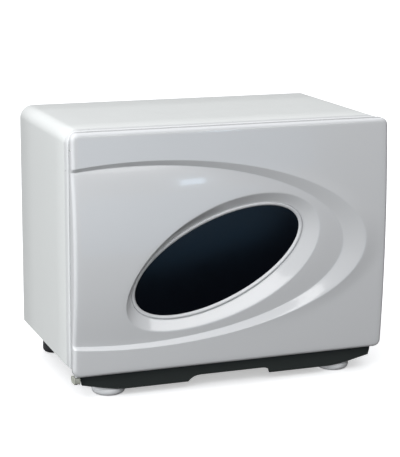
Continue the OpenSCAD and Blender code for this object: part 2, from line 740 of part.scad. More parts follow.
module window_glass() color("black") from_front() along_y(glass_y, glass_t) window_outline(glass_edge - 0.3);

module window_inner_pane() color("lightblue") from_front()
    along_y(plug_out - panel_t - 3, 3) window_outline(8);

module door_gasket() color("darkslategray") from_front() along_y(-door_back, face_y + door_back - 0.3)
    difference() {
        rounded_rect(chamber_w + 16, chamber_h + 16, chamber_r + 8, chamber_mid_z);
        rounded_rect(chamber_w + 4, chamber_h + 4, chamber_r + 2, chamber_mid_z);
    }

module catch_strike() color("silver") from_front()
    translate([catch_at.x - catch_size.x / 2 + 0.5, -door_back, catch_at.y - 17]) cube([7, 1.5, 34]);

module door_screws() color("silver") from_front() for (p = door_screw_at)
    translate([p.x, -door_back, p.y]) mirror([0, 1, 0]) screw(6, 6, 1.3);

// ---------------------------------------------------------------- feet, rails and tray

module front_feet() color("white") from_front() for (x = [-1, 1])
    translate([x * front_foot.x, front_foot.y, 0]) difference() {
        rotate_extrude() {
            square([14, base_z]);
            translate([0, 6.5]) square([23, 2.5]);
            square([16.5, 8]);
            intersection() {
                translate([16.5, 6.5]) circle(6.5);
                square([23, 6.5]);
            }
            polygon([[0, 9], [23, 9], [14, 20], [0, 20]]);
        }
        translate([0, 0, base_z - 20]) cylinder(d = 4.1, h = 21);
    }

module rear_feet() color("black") from_front() for (x = [-1, 1])
    translate([x * rear_foot.x, rear_foot.y, 0]) difference() {
        rotate_extrude() {
            translate([0, 6]) square([15, base_z - 6]);
            square([9, 7]);
            intersection() {
                translate([9, 6]) circle(6);
                square([15, 6]);
            }
        }
        translate([0, 0, base_z - 20]) cylinder(d = 4.1, h = 21);
    }

module foot_screws() color("silver") from_front() for (x = [-1, 1], f = [front_foot, rear_foot])
    translate([x * f.x, f.y, base_z + sheet_t]) {
        cylinder(d = 8, h = 2.5);
        translate([0, 0, -18]) cylinder(d = 4, h = 18);
    }

module tray_rails() color("silver") from_front() for (s = [-1, 1]) difference() {
    translate([0, 10, 0]) rotate([90, 0, 0]) mirror([0, 0, 1]) linear_extrude(rail_len)
        polygon([for (p = [[rail_x - 16, base_z], [rail_x, base_z], [rail_x, rail_z], [rail_x - 9, rail_z],
            [rail_x - 9, rail_z + rail_t], [rail_x - rail_t, rail_z + rail_t],
            [rail_x - rail_t, base_z - rail_t], [rail_x - 16, base_z - rail_t]]) [s * p.x, p.y]]);
    for (y = rail_screw_ys) translate([s * (rail_x - 8), y, base_z - 5]) cylinder(d = screw_d + 0.1, h = 10);
}

module rail_screws() color("silver") from_front() for (x = [-1, 1], y = rail_screw_ys)
    translate([x * (rail_x - 8), y, base_z - rail_t]) rotate([90, 0, 0]) screw(5, 5, 1.2);

// Outline of the tray front, cut up at both ends and over the finger notch
module tray_front_outline() {
    low = 10;
    end_low = 20.5;
    notch_top = 18;
    half = tray_front_half;
    // the finger notch has a long curved run at its left end and a steep one at its right
    polygon([[2 - half, end_low], [-181, 14.5], [-150, low], [-60, low], [-54, notch_top - 2.8],
        [-49, notch_top - 0.9], [-42, notch_top], [49, notch_top], [56, notch_top - 1.5],
        [57.5, notch_top - 3], [59, low], [150, low],
        [181, 14.5], [half - 2, end_low], [half, tray_front_top - 2], [half - 2, tray_front_top],
        [2 - half, tray_front_top], [-half, tray_front_top - 2]]);
}

module drip_tray() color("black") from_front() {
    along_y(tray_front_y, tray_front_t) tray_front_outline();
    // the tray itself
    difference() {
        translate([-tray_half, tray_front_y + tray_front_t - 0.5, tray_bottom])
            cube([2 * tray_half, tray_len, tray_top - tray_bottom]);
        translate([-tray_half + tray_wall, tray_front_y + tray_front_t, tray_bottom + tray_wall])
            cube([2 * (tray_half - tray_wall), tray_len - 0.5 - tray_wall, 30]);
    }
    // side lips that run on the rails
    for (s = [-1, 1]) translate([s > 0 ? tray_half - 1 : -tray_half - 8, 12, rail_z + rail_t + 0.3])
        cube([9, tray_len - 17, 1.5]);
}

// ---------------------------------------------------------------- assembly

casing_wrap();
front_frame();
base_pan();
back_panel();
inner_liner();
liner_insulation();
heater_mat();
thermostat();
rack_studs();
upper_rack();
lower_rack();
lamp_tube();
lamp_holders();
lamp_guard();
lamp_ballast();
lamp_starter();
terminal_block();
power_inlet();
heat_switch_housing();
heat_rocker();
lamp_switch_housing();
lamp_rocker();
wiring_harness();
door_switch_housing();
door_switch_plunger();
catch_magnet();
lower_hinge_bracket();
lower_hinge_pin();
upper_hinge_bracket();
upper_hinge_pin();
tray_rails();
front_feet();
rear_feet();
back_panel_screws();
base_screws();
foot_screws();
hinge_screws();
rail_screws();
door_skin();
door_insulation();
door_inner_panel();
window_rim();
window_glass();
window_inner_pane();
door_gasket();
catch_strike();
hinge_bushes();
door_screws();
drip_tray();
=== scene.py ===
"""Looks of the hot towel cabinet: smooth meshes, materials, studio and camera round the CAD frame.

Shapes are worked out in casing millimetres: x to the right, y from the casing front to the
back, z up from the floor. place() turns them into metres in the shared frame.
"""

import json
import math

import bmesh
import bpy
import numpy as np
from mathutils import Matrix, Vector
from mathutils.geometry import delaunay_2d_cdt


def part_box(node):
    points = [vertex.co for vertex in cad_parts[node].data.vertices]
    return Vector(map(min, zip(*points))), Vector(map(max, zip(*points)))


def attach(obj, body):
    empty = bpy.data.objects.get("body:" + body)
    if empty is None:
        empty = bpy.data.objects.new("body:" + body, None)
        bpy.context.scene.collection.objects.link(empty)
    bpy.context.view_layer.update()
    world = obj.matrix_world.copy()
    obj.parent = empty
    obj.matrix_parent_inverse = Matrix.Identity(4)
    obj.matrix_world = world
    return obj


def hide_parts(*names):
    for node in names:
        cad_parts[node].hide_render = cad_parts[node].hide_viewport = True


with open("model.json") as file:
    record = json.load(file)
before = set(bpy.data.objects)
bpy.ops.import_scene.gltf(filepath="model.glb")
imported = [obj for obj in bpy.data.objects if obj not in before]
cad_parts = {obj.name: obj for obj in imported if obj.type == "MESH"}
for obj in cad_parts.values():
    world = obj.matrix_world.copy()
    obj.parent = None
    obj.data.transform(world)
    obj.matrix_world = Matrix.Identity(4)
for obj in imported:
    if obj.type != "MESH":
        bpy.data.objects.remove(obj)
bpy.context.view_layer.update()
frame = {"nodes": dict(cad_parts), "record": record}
MM = 0.001
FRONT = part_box("front_frame")[0].y
SLOT_OF = {s["node"]: s["material_slot"] for s in frame["record"]["subparts"]}


def box_mm(node):
    """Lowest and highest corner of a CAD node, in casing millimetres."""
    low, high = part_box(node)
    shift = Vector((0, FRONT, 0))
    return (low - shift) / MM, (high - shift) / MM


def middle(node):
    """Middle of a CAD node's box, in casing millimetres."""
    low, high = box_mm(node)
    return (low + high) / 2


# ---- materials


class Nodes:
    """A short way to write a node tree."""

    def __init__(self, name):
        self.material = bpy.data.materials.new(name)
        self.material.use_nodes = True
        self.tree = self.material.node_tree
        self.shader = self.tree.nodes["Principled BSDF"]
        self.place = self.add("TexCoord").outputs["Object"]

    def add(self, kind, inputs=(), **settings):
        """A node of a kind, with its inputs set to values or linked to sockets."""
        node = self.tree.nodes.new("ShaderNode" + kind)
        for key, value in settings.items():
            setattr(node, key, value)
        for key, value in dict(inputs).items():
            self.feed(node.inputs[key], value)
        return node

    def feed(self, socket, value):
        """Links a socket to another one, or sets its value."""
        if isinstance(value, bpy.types.NodeSocket):
            self.tree.links.new(value, socket)
        else:
            socket.default_value = value

    def noise(self, scale, detail=3.0, stretch=None):
        """Cloudy values, finer along the axes where stretch is large."""
        place = self.place
        if stretch:
            place = self.add("Mapping", {"Vector": place, "Scale": stretch}).outputs[0]
        return self.add("TexNoise", {"Vector": place, "Scale": scale, "Detail": detail}).outputs["Fac"]

    def range(self, value, low, high):
        """A value from 0 to 1 brought between low and high."""
        return self.add("MapRange", {"Value": value, "To Min": low, "To Max": high}).outputs[0]

    def mix(self, factor, a, b):
        """A colour between a and b, through the colour sockets of a Mix node."""
        node = self.add("Mix", data_type="RGBA")
        for number, value in ((0, factor), (6, a), (7, b)):
            self.feed(node.inputs[number], value)
        return node.outputs[2]

    def set(self, **values):
        """Sets or links inputs of the shader; underscores stand for spaces."""
        for key, value in values.items():
            self.feed(self.shader.inputs[key.replace("_", " ")], value)
        return self

    def bump(self, height, strength, distance):
        """Relief on top of any earlier relief; the distance is in metres."""
        node = self.add("Bump", {"Height": height, "Strength": strength, "Distance": distance})
        normal = self.shader.inputs["Normal"]
        if normal.links:
            self.feed(node.inputs["Normal"], normal.links[0].from_socket)
        self.feed(normal, node.outputs[0])
        return self


def tint(color, share):
    """A colour made lighter or darker by a share, with alpha 1."""
    return tuple(min(1.0, c * share) for c in color) + (1.0,)


def plain(name, color, roughness, grain=900, depth=4e-5, spread=0.04, metallic=0.0, rough_spread=0.06):
    """Cast, moulded or painted stock: cloudy colour, uneven gloss and a fine surface grain."""
    n = Nodes(name)
    cloud = n.noise(9.0, 4.0)
    n.set(Base_Color=n.mix(cloud, tint(color, 1 - spread), tint(color, 1 + spread)))
    n.set(Metallic=metallic)
    smoothest = max(0.02, roughness - rough_spread)
    n.set(Roughness=n.range(n.noise(45.0, 5.0), smoothest, roughness + rough_spread))
    n.bump(n.noise(grain, 3.0), 0.25, depth)
    return n


def powder_white():
    """Powder coat with a slight orange peel."""
    n = plain("powder_white", (0.80, 0.815, 0.80), 0.42, grain=1500, depth=6e-5, spread=0.012)
    n.bump(n.noise(420.0, 1.0), 0.12, 0.0001)
    return n.set(Coat_Weight=0.12)


def gloss_white():
    """Glossy moulding of the door, not quite flat."""
    n = plain("gloss_white", (0.76, 0.765, 0.775), 0.13, grain=2600, depth=4e-6, spread=0.01,
              rough_spread=0.035)
    n.bump(n.noise(16.0, 1.0), 0.1, 0.00015)
    return n.set(Coat_Weight=0.35)


def galvanised():
    """Zinc-coated sheet with a flaky spangle."""
    n = Nodes("galvanised")
    cells = n.add("TexVoronoi", {"Vector": n.place, "Scale": 210.0})
    shade = n.add("SeparateColor", {"Color": cells.outputs["Color"]}).outputs[0]
    n.set(Base_Color=n.mix(shade, (0.5, 0.52, 0.54, 1), (0.7, 0.71, 0.72, 1)), Metallic=0.9)
    n.set(Roughness=n.range(shade, 0.32, 0.5))
    return n.bump(n.noise(700.0), 0.2, 5e-5)


def brushed(name, color, roughness, stretch):
    """Metal with straight brushing: noise drawn out along one direction."""
    n = Nodes(name)
    lines = n.noise(30.0, 6.0, stretch)
    n.set(Base_Color=n.mix(lines, tint(color, 0.93), tint(color, 1.05)), Metallic=1.0)
    n.set(Roughness=n.range(n.noise(12.0, 5.0, stretch), roughness - 0.08, roughness + 0.1))
    return n.bump(lines, 0.12, 3e-5)


def felt():
    """Fibrous yellow insulation."""
    n = Nodes("felt")
    tuft = n.noise(520.0, 6.0)
    n.set(Base_Color=n.mix(tuft, (0.62, 0.56, 0.4, 1), (0.86, 0.8, 0.62, 1)), Roughness=0.95)
    n.set(Sheen_Weight=0.3)
    return n.bump(tuft, 0.8, 0.0006)


def window_dark():
    """Dark-tinted glass with a faint blue haze."""
    n = Nodes("window_dark")
    haze = n.noise(7.0, 4.0)
    n.set(Base_Color=n.mix(haze, (0.001, 0.002, 0.004, 1), (0.002, 0.004, 0.009, 1)))
    n.set(Roughness=n.range(n.noise(60.0, 5.0), 0.12, 0.2))
    return n.set(Transmission_Weight=0.35, IOR=1.5)


def pane_clear():
    """Clear glass, a little greasy."""
    n = Nodes("pane_clear")
    n.set(Base_Color=(0.86, 0.9, 0.92, 1), Transmission_Weight=0.92, IOR=1.48)
    n.set(Roughness=n.range(n.noise(80.0, 4.0), 0.02, 0.1))
    return n


def lamp_glass():
    """Frosted tube of the lamp."""
    n = Nodes("lamp_glass")
    n.set(Base_Color=n.mix(n.noise(60.0), (0.86, 0.9, 0.95, 1), (0.95, 0.97, 1.0, 1)))
    n.set(Transmission_Weight=0.55, IOR=1.46, Roughness=n.range(n.noise(90.0), 0.05, 0.2))
    return n


def rubber(name, color, roughness=0.75):
    """Matt rubber with a coarse grain."""
    n = plain(name, color, roughness, grain=700, depth=0.00012, spread=0.12)
    return n.set(Sheen_Weight=0.1)


def floor_white():
    """Studio floor, bright enough to vanish into the background."""
    n = Nodes("floor_white")
    n.set(Base_Color=n.mix(n.noise(1.6, 4.0), (0.93, 0.93, 0.935, 1), (0.95, 0.95, 0.95, 1)))
    n.set(Roughness=n.range(n.noise(40.0), 0.7, 0.85))
    n.set(Emission_Color=(1.0, 1.0, 1.0, 1), Emission_Strength=0.45)
    return n.bump(n.noise(240.0), 0.05, 0.0002)


FINISHES = {
    "casing_white": powder_white(),
    "door_white": gloss_white(),
    "frame_white": plain("satin_white", (0.80, 0.81, 0.81), 0.3, grain=1400, depth=3e-5, spread=0.012),
    "galvanised": galvanised(),
    "liner_metal": brushed("liner_metal", (0.72, 0.73, 0.745), 0.3, stretch=(1, 40, 40)),
    "foam": felt(),
    "silicone": rubber("silicone", (0.55, 0.12, 0.05), 0.6),
    "phenolic": plain("phenolic", (0.06, 0.045, 0.04), 0.5),
    "rack_chrome": plain("chrome", (0.78, 0.79, 0.8), 0.09, depth=1e-5, spread=0.02, metallic=1.0,
                         rough_spread=0.05),
    "lamp_glass": lamp_glass(),
    "ivory_plastic": plain("ivory_plastic", (0.75, 0.72, 0.62), 0.38),
    "guard_steel": brushed("guard_steel", (0.66, 0.67, 0.69), 0.34, stretch=(1, 30, 30)),
    "ballast_steel": plain("ballast_steel", (0.16, 0.17, 0.19), 0.45, metallic=0.5),
    "black_plastic": plain("black_plastic", (0.022, 0.022, 0.024), 0.42, grain=1900, depth=8e-5, spread=0.2),
    "rocker_red": plain("rocker_red", (0.5, 0.02, 0.02), 0.22, grain=1500, depth=2e-5, spread=0.06),
    "wire_sleeve": rubber("wire_sleeve", (0.6, 0.42, 0.1), 0.55),
    "magnet_body": plain("magnet_body", (0.1, 0.1, 0.105), 0.5),
    "bracket_beige": plain("bracket_beige", (0.47, 0.48, 0.42), 0.36, grain=1100, depth=6e-5, spread=0.03),
    "pin_steel": brushed("pin_steel", (0.7, 0.7, 0.71), 0.25, stretch=(40, 40, 1)),
    "foot_silver": plain("foot_silver", (0.86, 0.865, 0.875), 0.24, grain=1500, depth=3e-5, spread=0.012),
    "foot_rubber": rubber("foot_rubber", (0.02, 0.02, 0.022)),
    "screw_zinc": plain("screw_zinc", (0.68, 0.68, 0.66), 0.28, grain=1300, depth=2e-5, spread=0.06,
                        metallic=1.0),
    "window_dark": window_dark(),
    "pane_clear": pane_clear(),
    "gasket_rubber": rubber("gasket_rubber", (0.16, 0.165, 0.17), 0.6),
    "tray_black": plain("tray_black", (0.034, 0.039, 0.037), 0.3, depth=8e-6, spread=0.12),
}
MATERIALS = {slot: finish.material for slot, finish in FINISHES.items()}

# ---- meshes


def place(points):
    """Casing millimetres to metres in the shared frame."""
    return [(p[0] * MM, FRONT + p[1] * MM, p[2] * MM) for p in points]


def at_depth(outline, y):
    """Points in x and z, set at one depth or at one depth each."""
    return np.insert(np.asarray(outline, float), 1, y, axis=1)


def add_object(name, data):
    """A new object, put into the scene."""
    obj = bpy.data.objects.new(name, data)
    bpy.context.scene.collection.objects.link(obj)
    return obj


class Shape:
    """Vertices and faces gathered in casing millimetres."""

    def __init__(self):
        self.points = []
        self.faces = []

    def row(self, points):
        """Adds points and returns their numbers."""
        start = len(self.points)
        self.points.extend(tuple(map(float, p)) for p in points)
        return list(range(start, len(self.points)))

    def loop_at(self, outline, y):
        """A row from an outline in x and z, at one depth or at one depth for each point."""
        return self.row(at_depth(outline, y))

    def rows_at(self, outline, section):
        """Rows of an outline that takes an inset, for a section of (inset, depth)."""
        return [self.loop_at(outline(inset), y) for inset, y in section]

    def strip(self, a, b, closed=True):
        """Four-sided faces between two rows."""
        count = len(a)
        for i in range(count if closed else count - 1):
            j = (i + 1) % count
            self.faces.append((a[i], a[j], b[j], b[i]))

    def strips(self, rows, closed=True):
        """Strips from each row to the next."""
        for a, b in zip(rows, rows[1:]):
            self.strip(a, b, closed)

    def tube(self, rows):
        """Strips through rows, closed back from the last row to the first."""
        self.strips(rows + rows[:1])

    def solid(self, rows):
        """Strips through closed rows, capped at both ends."""
        self.strips(rows)
        self.cap(rows[0])
        self.cap(rows[-1])

    def bar(self, rows):
        """Open rows that go once round a bar, capped at both ends."""
        self.strips(rows + rows[:1], closed=False)
        self.cap([row[0] for row in rows])
        self.cap([row[-1] for row in rows])

    def cap(self, row):
        """One face over a closed row."""
        self.faces.append(tuple(row))

    def fill(self, loops, extra=(), height=None):
        """Fills between an outer loop and its holes, seen along y. Extra points take height(x, z)."""
        flat = [(self.points[i][0], self.points[i][2]) for loop in loops for i in loop]
        index = [i for loop in loops for i in loop]
        edges, start = [], 0
        for loop in loops:
            edges += loop_edges(start, len(loop))
            start += len(loop)
        for x, z in extra:
            index.append(self.row([(x, height(x, z), z)])[0])
            flat.append((x, z))
        found, _, faces, origin, _, _ = delaunay_2d_cdt([Vector(p) for p in flat], edges, [], 0, 1e-5)
        index_of = [index[o[0]] for o in origin]
        middles = np.array([np.mean([found[i][:] for i in f], axis=0) for f in faces])
        start = len(loops[0])
        keep = inside(flat[:start], middles)
        for loop in loops[1:]:
            keep &= ~inside(flat[start : start + len(loop)], middles)
            start += len(loop)
        self.faces.extend(tuple(index_of[i] for i in f) for f, k in zip(faces, keep) if k)

    def build(self, name, slot, body, replaced=(), sharp=38.0):
        """Makes the piece; edges that turn by more than sharp degrees stay crisp."""
        data = bpy.data.meshes.new(name)
        data.from_pydata(place(self.points), [], self.faces)
        mesh = bmesh.new()
        mesh.from_mesh(data)
        bmesh.ops.remove_doubles(mesh, verts=mesh.verts, dist=2e-6)
        loose = [v for v in mesh.verts if not v.link_faces]
        bmesh.ops.delete(mesh, geom=loose, context="VERTS")
        bmesh.ops.recalc_face_normals(mesh, faces=mesh.faces)
        for face in mesh.faces:
            face.smooth = True
        for edge in mesh.edges:
            if len(edge.link_faces) == 2:
                edge.smooth = edge.calc_face_angle(0) < math.radians(sharp)
        mesh.to_mesh(data)
        mesh.free()
        obj = add_object(name, data)
        data.materials.append(MATERIALS[slot])
        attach(obj, body)
        if replaced:
            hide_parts(*replaced)


def loop_edges(start, count):
    """Edges round a closed run of points."""
    return [(start + i, start + (i + 1) % count) for i in range(count)]


def inside(loop, points):
    """Which points lie inside a closed loop."""
    loop = np.asarray(loop, float)
    px, py = np.asarray(points, float).T
    result = np.zeros(len(px), bool)
    for (x0, y0), (x1, y1) in zip(loop, np.roll(loop, -1, axis=0)):
        if y0 == y1:
            continue
        crosses = (y0 > py) != (y1 > py)
        result ^= crosses & (px < (x1 - x0) * (py - y0) / (y1 - y0) + x0)
    return result


def arc(cx, cz, r, start, end, count):
    """Points along an arc, between two angles in degrees."""
    return [(cx + r * math.cos(math.radians(a)), cz + r * math.sin(math.radians(a)))
            for a in np.linspace(start, end, count)]


def rounded(w, h, r, x=0.0, z=0.0, count=10, side=24.0):
    """A rectangle with rounded corners, with points along its straight sides too."""
    corners = [(x + sx * (w / 2 - r), z + sz * (h / 2 - r), a)
               for sx, sz, a in ((1, 1, 0), (-1, 1, 90), (-1, -1, 180), (1, -1, 270))]
    points = []
    for k, (cx, cz, a) in enumerate(corners):
        points += arc(cx, cz, r, a, a + 90, count)
        nx, nz, na = corners[(k + 1) % 4]
        goal = arc(nx, nz, r, na, na, 1)[0]
        steps = max(1, round(math.dist(points[-1], goal) / side))
        here = points[-1]
        points += [(here[0] + (goal[0] - here[0]) * s / steps, here[1] + (goal[1] - here[1]) * s / steps)
                   for s in range(1, steps)]
    return points


def ellipse(cx, cz, a, b, tilt=0.0, count=240):
    """Points round an ellipse with half-axes a and b, tilted by some degrees."""
    t = np.linspace(0, 2 * math.pi, count, endpoint=False)
    u, v = a * np.cos(t), b * np.sin(t)
    c, s = math.cos(math.radians(tilt)), math.sin(math.radians(tilt))
    return np.stack([cx + u * c - v * s, cz + u * s + v * c], axis=1)


def prism(shape, outline, low, high, bevel=0.6, axis="y"):
    """A bevelled plate: an outline pushed along an axis from low to high, with rounded rims."""
    outline = np.asarray(outline, float)
    ahead = np.roll(outline, -1, axis=0) - outline
    ahead /= np.linalg.norm(ahead, axis=1)[:, None]
    normal = np.stack([ahead[:, 1], -ahead[:, 0]], axis=1)
    area = np.sum(outline[:, 0] * np.roll(outline[:, 1], -1) - np.roll(outline[:, 0], -1) * outline[:, 1])
    normal *= -1 if area > 0 else 1
    both = normal + np.roll(normal, 1, axis=0)
    both /= np.maximum(0.5, np.sum(both * normal, axis=1))[:, None]
    steps = [(1 - math.sin(a), 1 - math.cos(a)) for a in np.linspace(0, math.pi / 2, 4)]
    rims = [(i, low + bevel * j) for j, i in steps]
    rims += [(i, high - bevel * j) for j, i in steps[::-1]]
    rows = []
    for inset, along in rims:
        flat = outline + both * bevel * inset
        rows.append(shape.row(np.insert(flat, "xyz".index(axis), along, axis=1)))
    shape.solid(rows)


def lathe(shape, x, y, profile, count=64):
    """A turned solid about a vertical axis; the profile is (radius, height) from axis to axis."""
    angles = np.linspace(0, 2 * math.pi, count, endpoint=False)
    ways = [(math.cos(a), math.sin(a)) for a in angles]
    shape.solid([shape.row([(x + r * c, y + r * s, z) for c, s in ways]) for r, z in profile])


def wire(shape, path, r, closed=False, count=14):
    """A round wire along a path."""
    path = np.asarray(path, float)
    n = len(path)
    rows, up = [], None
    for i in range(n):
        before = path[i - 1] if closed or i > 0 else path[i]
        after = path[(i + 1) % n] if closed or i < n - 1 else path[i]
        ahead = Vector(after - before).normalized()
        if up is None:
            up = ahead.orthogonal().normalized()
        up = (up - ahead * up.dot(ahead)).normalized()
        side = ahead.cross(up)
        angles = np.linspace(0, 2 * math.pi, count, endpoint=False)
        ways = [math.cos(a) * up + math.sin(a) * side for a in angles]
        rows.append(shape.row([Vector(path[i]) + r * way for way in ways]))
    if closed:
        shape.tube(rows)
    else:
        shape.solid(rows)


# ---- door

SKIN_LOW, SKIN_HIGH = box_mm("door_skin")
DOOR_W, DOOR_H = SKIN_HIGH.x - SKIN_LOW.x, SKIN_HIGH.z - SKIN_LOW.z
MID_Z = (SKIN_LOW.z + SKIN_HIGH.z) / 2
BACK_Y = SKIN_HIGH.y
# depth at the edges, corner radius, radius of the rolled edge, thickness of the skin
EDGE_DEPTH, CORNER_R, EDGE_R, SKIN = 15.5, 10.0, 5.0, 2.5
# the front bows out by BOW between its top and bottom edges
BOW = 7.0
BOW_R = ((DOOR_H / 2) ** 2 + BOW**2) / (2 * BOW)
# the sweep: a recessed band between two ellipses, a crowned panel inside it, a swelling outside it
OUTER = dict(cx=-126.0, cz=194.0, a=318.0, b=126.0)
INNER = dict(cx=-142.0, cz=193.5, a=301.0, b=119.5)
SWEEP_DEPTH, CROWN = 4.8, 7.8
SWELL, SWELL_REACH = 2.6, 0.09
# the glass, and the dish it sits in
GLASS = dict(cx=-21.0, cz=178.0, a=125.0, b=55.0, tilt=23.0)
DISH = dict(cx=-10.0, cz=170.0, a=158.0, b=86.5, tilt=28.0)
LEDGE_Y, DISH_DEPTH = -11.0, 12.5
LEDGE_IN, TRIM_OUT = 5.3, 9.0  # margins round the glass
# CAVITY is from the surround to the inside of the skin; PANEL_Y is the back of the trim's seat
CAVITY = 6.5
PANEL_Y = -3.5
SEAT_Y = box_mm("window_glass")[0].y
AXIS_X = middle("upper_hinge_pin").x
# the slot in the door's left edge that the upper hinge arm enters by
ARM_TOP = box_mm("upper_hinge_bracket")[1].z
SLOT_Z = (ARM_TOP - 2.3, ARM_TOP + 0.3)


def grown(loop, margin):
    """An ellipse with longer half-axes."""
    return dict(loop, a=loop["a"] + margin, b=loop["b"] + margin)


def window_loop(margin):
    """The outline of the glass, grown by a margin."""
    return ellipse(**grown(GLASS, margin))


def dish_loop(margin=0.0):
    """The outline of the dish's lip, grown by a margin."""
    return ellipse(**grown(DISH, margin))


def bow(z):
    """Depth of the surround at a height."""
    z = np.clip(z, SKIN_LOW.z, SKIN_HIGH.z)
    return BOW_R - EDGE_DEPTH - BOW - np.sqrt(BOW_R**2 - (z - MID_Z) ** 2)


def share(x, z, loop):
    """How far out points are in an ellipse: 0 at its centre, 1 on its line."""
    return np.sqrt(((x - loop["cx"]) / loop["a"]) ** 2 + ((z - loop["cz"]) / loop["b"]) ** 2)


def eased(t, soft=0.09):
    """A straight ramp from 0 to 1 with both of its ends rounded."""
    grid = np.linspace(0, 1, 201)
    slope = np.minimum(1, np.minimum(grid, 1 - grid) / soft)
    total = np.concatenate([[0], np.cumsum((slope[1:] + slope[:-1]) / 2)])
    return np.interp(t, grid, total / total[-1])


def face_y(x, z):
    """Depth of the door's front: crowned panel, band, and surround, which swells beside the sweep."""
    x, z = np.asarray(x, float), np.asarray(z, float)
    outer, inner = share(x, z, OUTER), share(x, z, INNER)
    ramp = np.clip((1 - outer) / np.maximum(1e-6, (1 - outer) + (inner - 1)), 0, 1)
    swell = SWELL * np.clip((x - OUTER["cx"]) / (OUTER["a"] * np.maximum(outer, 1e-6)), 0, 1) ** 3
    band = (SWEEP_DEPTH + swell) * eased(ramp) - swell
    crown = SWEEP_DEPTH - CROWN * (1 - inner**2)
    around = -swell * (1 - np.clip((outer - 1) / SWELL_REACH, 0, 1)) ** 1.5
    return bow(z) + np.where(inner < 1, crown, np.where(outer < 1, band, around))


def inset_of(points):
    """How far points lie inside the door outline, and the way out of it."""
    points = np.asarray(points, float)
    half = np.array([DOOR_W / 2 - CORNER_R, DOOR_H / 2 - CORNER_R])
    centre = np.array([0.0, MID_Z])
    core = np.clip(points - centre, -half, half)
    away = points - centre - core
    reach = np.linalg.norm(away, axis=1)
    box = np.min(half + CORNER_R - np.abs(points - centre), axis=1)
    return np.where(reach > 1e-9, CORNER_R - reach, box), away / np.maximum(reach, 1e-9)[:, None]


def to_ellipse(origin, ways, loop):
    """Where rays from a point inside an ellipse reach it."""
    c, s = math.cos(math.radians(loop["tilt"])), math.sin(math.radians(loop["tilt"]))
    off = np.asarray(origin, float) - (loop["cx"], loop["cz"])
    p = np.array([off @ (c, s), off @ (-s, c)]) / (loop["a"], loop["b"])
    d = np.stack([ways @ (c, s), ways @ (-s, c)], axis=1) / (loop["a"], loop["b"])
    aa, bb, cc = np.sum(d * d, axis=1), d @ p, p @ p - 1
    return (np.sqrt(bb * bb - aa * cc) - bb) / aa


def bezier(a, b, c, count):
    """Points after a and up to c of a curve that turns at b, for whole rows at once."""
    return [(1 - s) ** 2 * a + 2 * s * (1 - s) * b + s * s * c for s in np.linspace(0, 1, count + 1)[1:]]


def dish_rows():
    """Rows from the door's front, over the rounded lip of the dish and down to the trim ring's ledge."""
    soft = 1.5
    low, high = window_loop(6.0), dish_loop()
    ahead = high - low
    length = np.hypot(np.linalg.norm(ahead, axis=1), DISH_DEPTH)[:, None]

    def on_slope(k):
        """Points up the slope, with k at 0 on the ledge and at 1 on the lip's outline."""
        flat = low + k * ahead
        return at_depth(flat, (LEDGE_Y - DISH_DEPTH * k)[:, 0])

    # halving finds where the slope comes out of the front
    k0, k1 = np.zeros((len(low), 1)), np.full((len(low), 1), 2.0)
    for _ in range(40):
        k = (k0 + k1) / 2
        p = on_slope(k)
        above = (p[:, 1] < face_y(p[:, 0], p[:, 2]))[:, None]
        k0, k1 = np.where(above, k0, k), np.where(above, k, k1)
    lip = on_slope(k)
    out = ahead / np.linalg.norm(ahead, axis=1)[:, None]
    start = lip + soft * at_depth(out, 0)
    start[:, 1] = face_y(start[:, 0], start[:, 2])
    top = on_slope(k - soft / length)
    foot = on_slope(np.minimum(soft / length, k / 3))
    corner = on_slope(np.zeros_like(k))
    ledge = at_depth(window_loop(LEDGE_IN), LEDGE_Y)
    over_lip = [start] + bezier(start, lip, top, 6)
    slope = [top + (foot - top) * s for s in (0.33, 0.67, 1.0)]
    onto_ledge = bezier(foot, corner, (corner + ledge) / 2, 4) + [ledge]
    return over_lip + slope + onto_ledge


def band_lines():
    """Lines along the sweep band, as open runs of points that cross the door's left edge."""
    t = np.radians(np.linspace(-112, 112, 380))
    outer, inner = [np.stack([loop["cx"] + loop["a"] * np.cos(t), loop["cz"] + loop["b"] * np.sin(t)], axis=1)
                    for loop in (OUTER, INNER)]
    steps = (-0.1, 0, 0.03, 0.06, 0.1, 0.3, 0.5, 0.7, 0.9, 0.94, 0.97, 1, 1.1)
    return [outer + (inner - outer) * s for s in steps]


def round_door(point):
    """The angle of a point seen from the door's middle."""
    return math.atan2(point[1] - MID_Z, point[0])


def door_grid(step):
    """Loose points over the smooth parts of the front, in staggered rows."""
    rows = int(DOOR_H / (step * 0.866)) + 1
    grid = np.array([(x + (k % 2) * step / 2, SKIN_LOW.z + k * step * 0.866)
                     for k in range(rows) for x in np.arange(-DOOR_W / 2, DOOR_W / 2, step)])
    outer, inner = share(*grid.T, OUTER), share(*grid.T, INNER)
    free = (inset_of(grid)[0] > EDGE_R + 2.5) & ((outer > 1.025) | (inner < 0.975))
    return grid[free & ~inside(dish_loop(6.5), grid)]


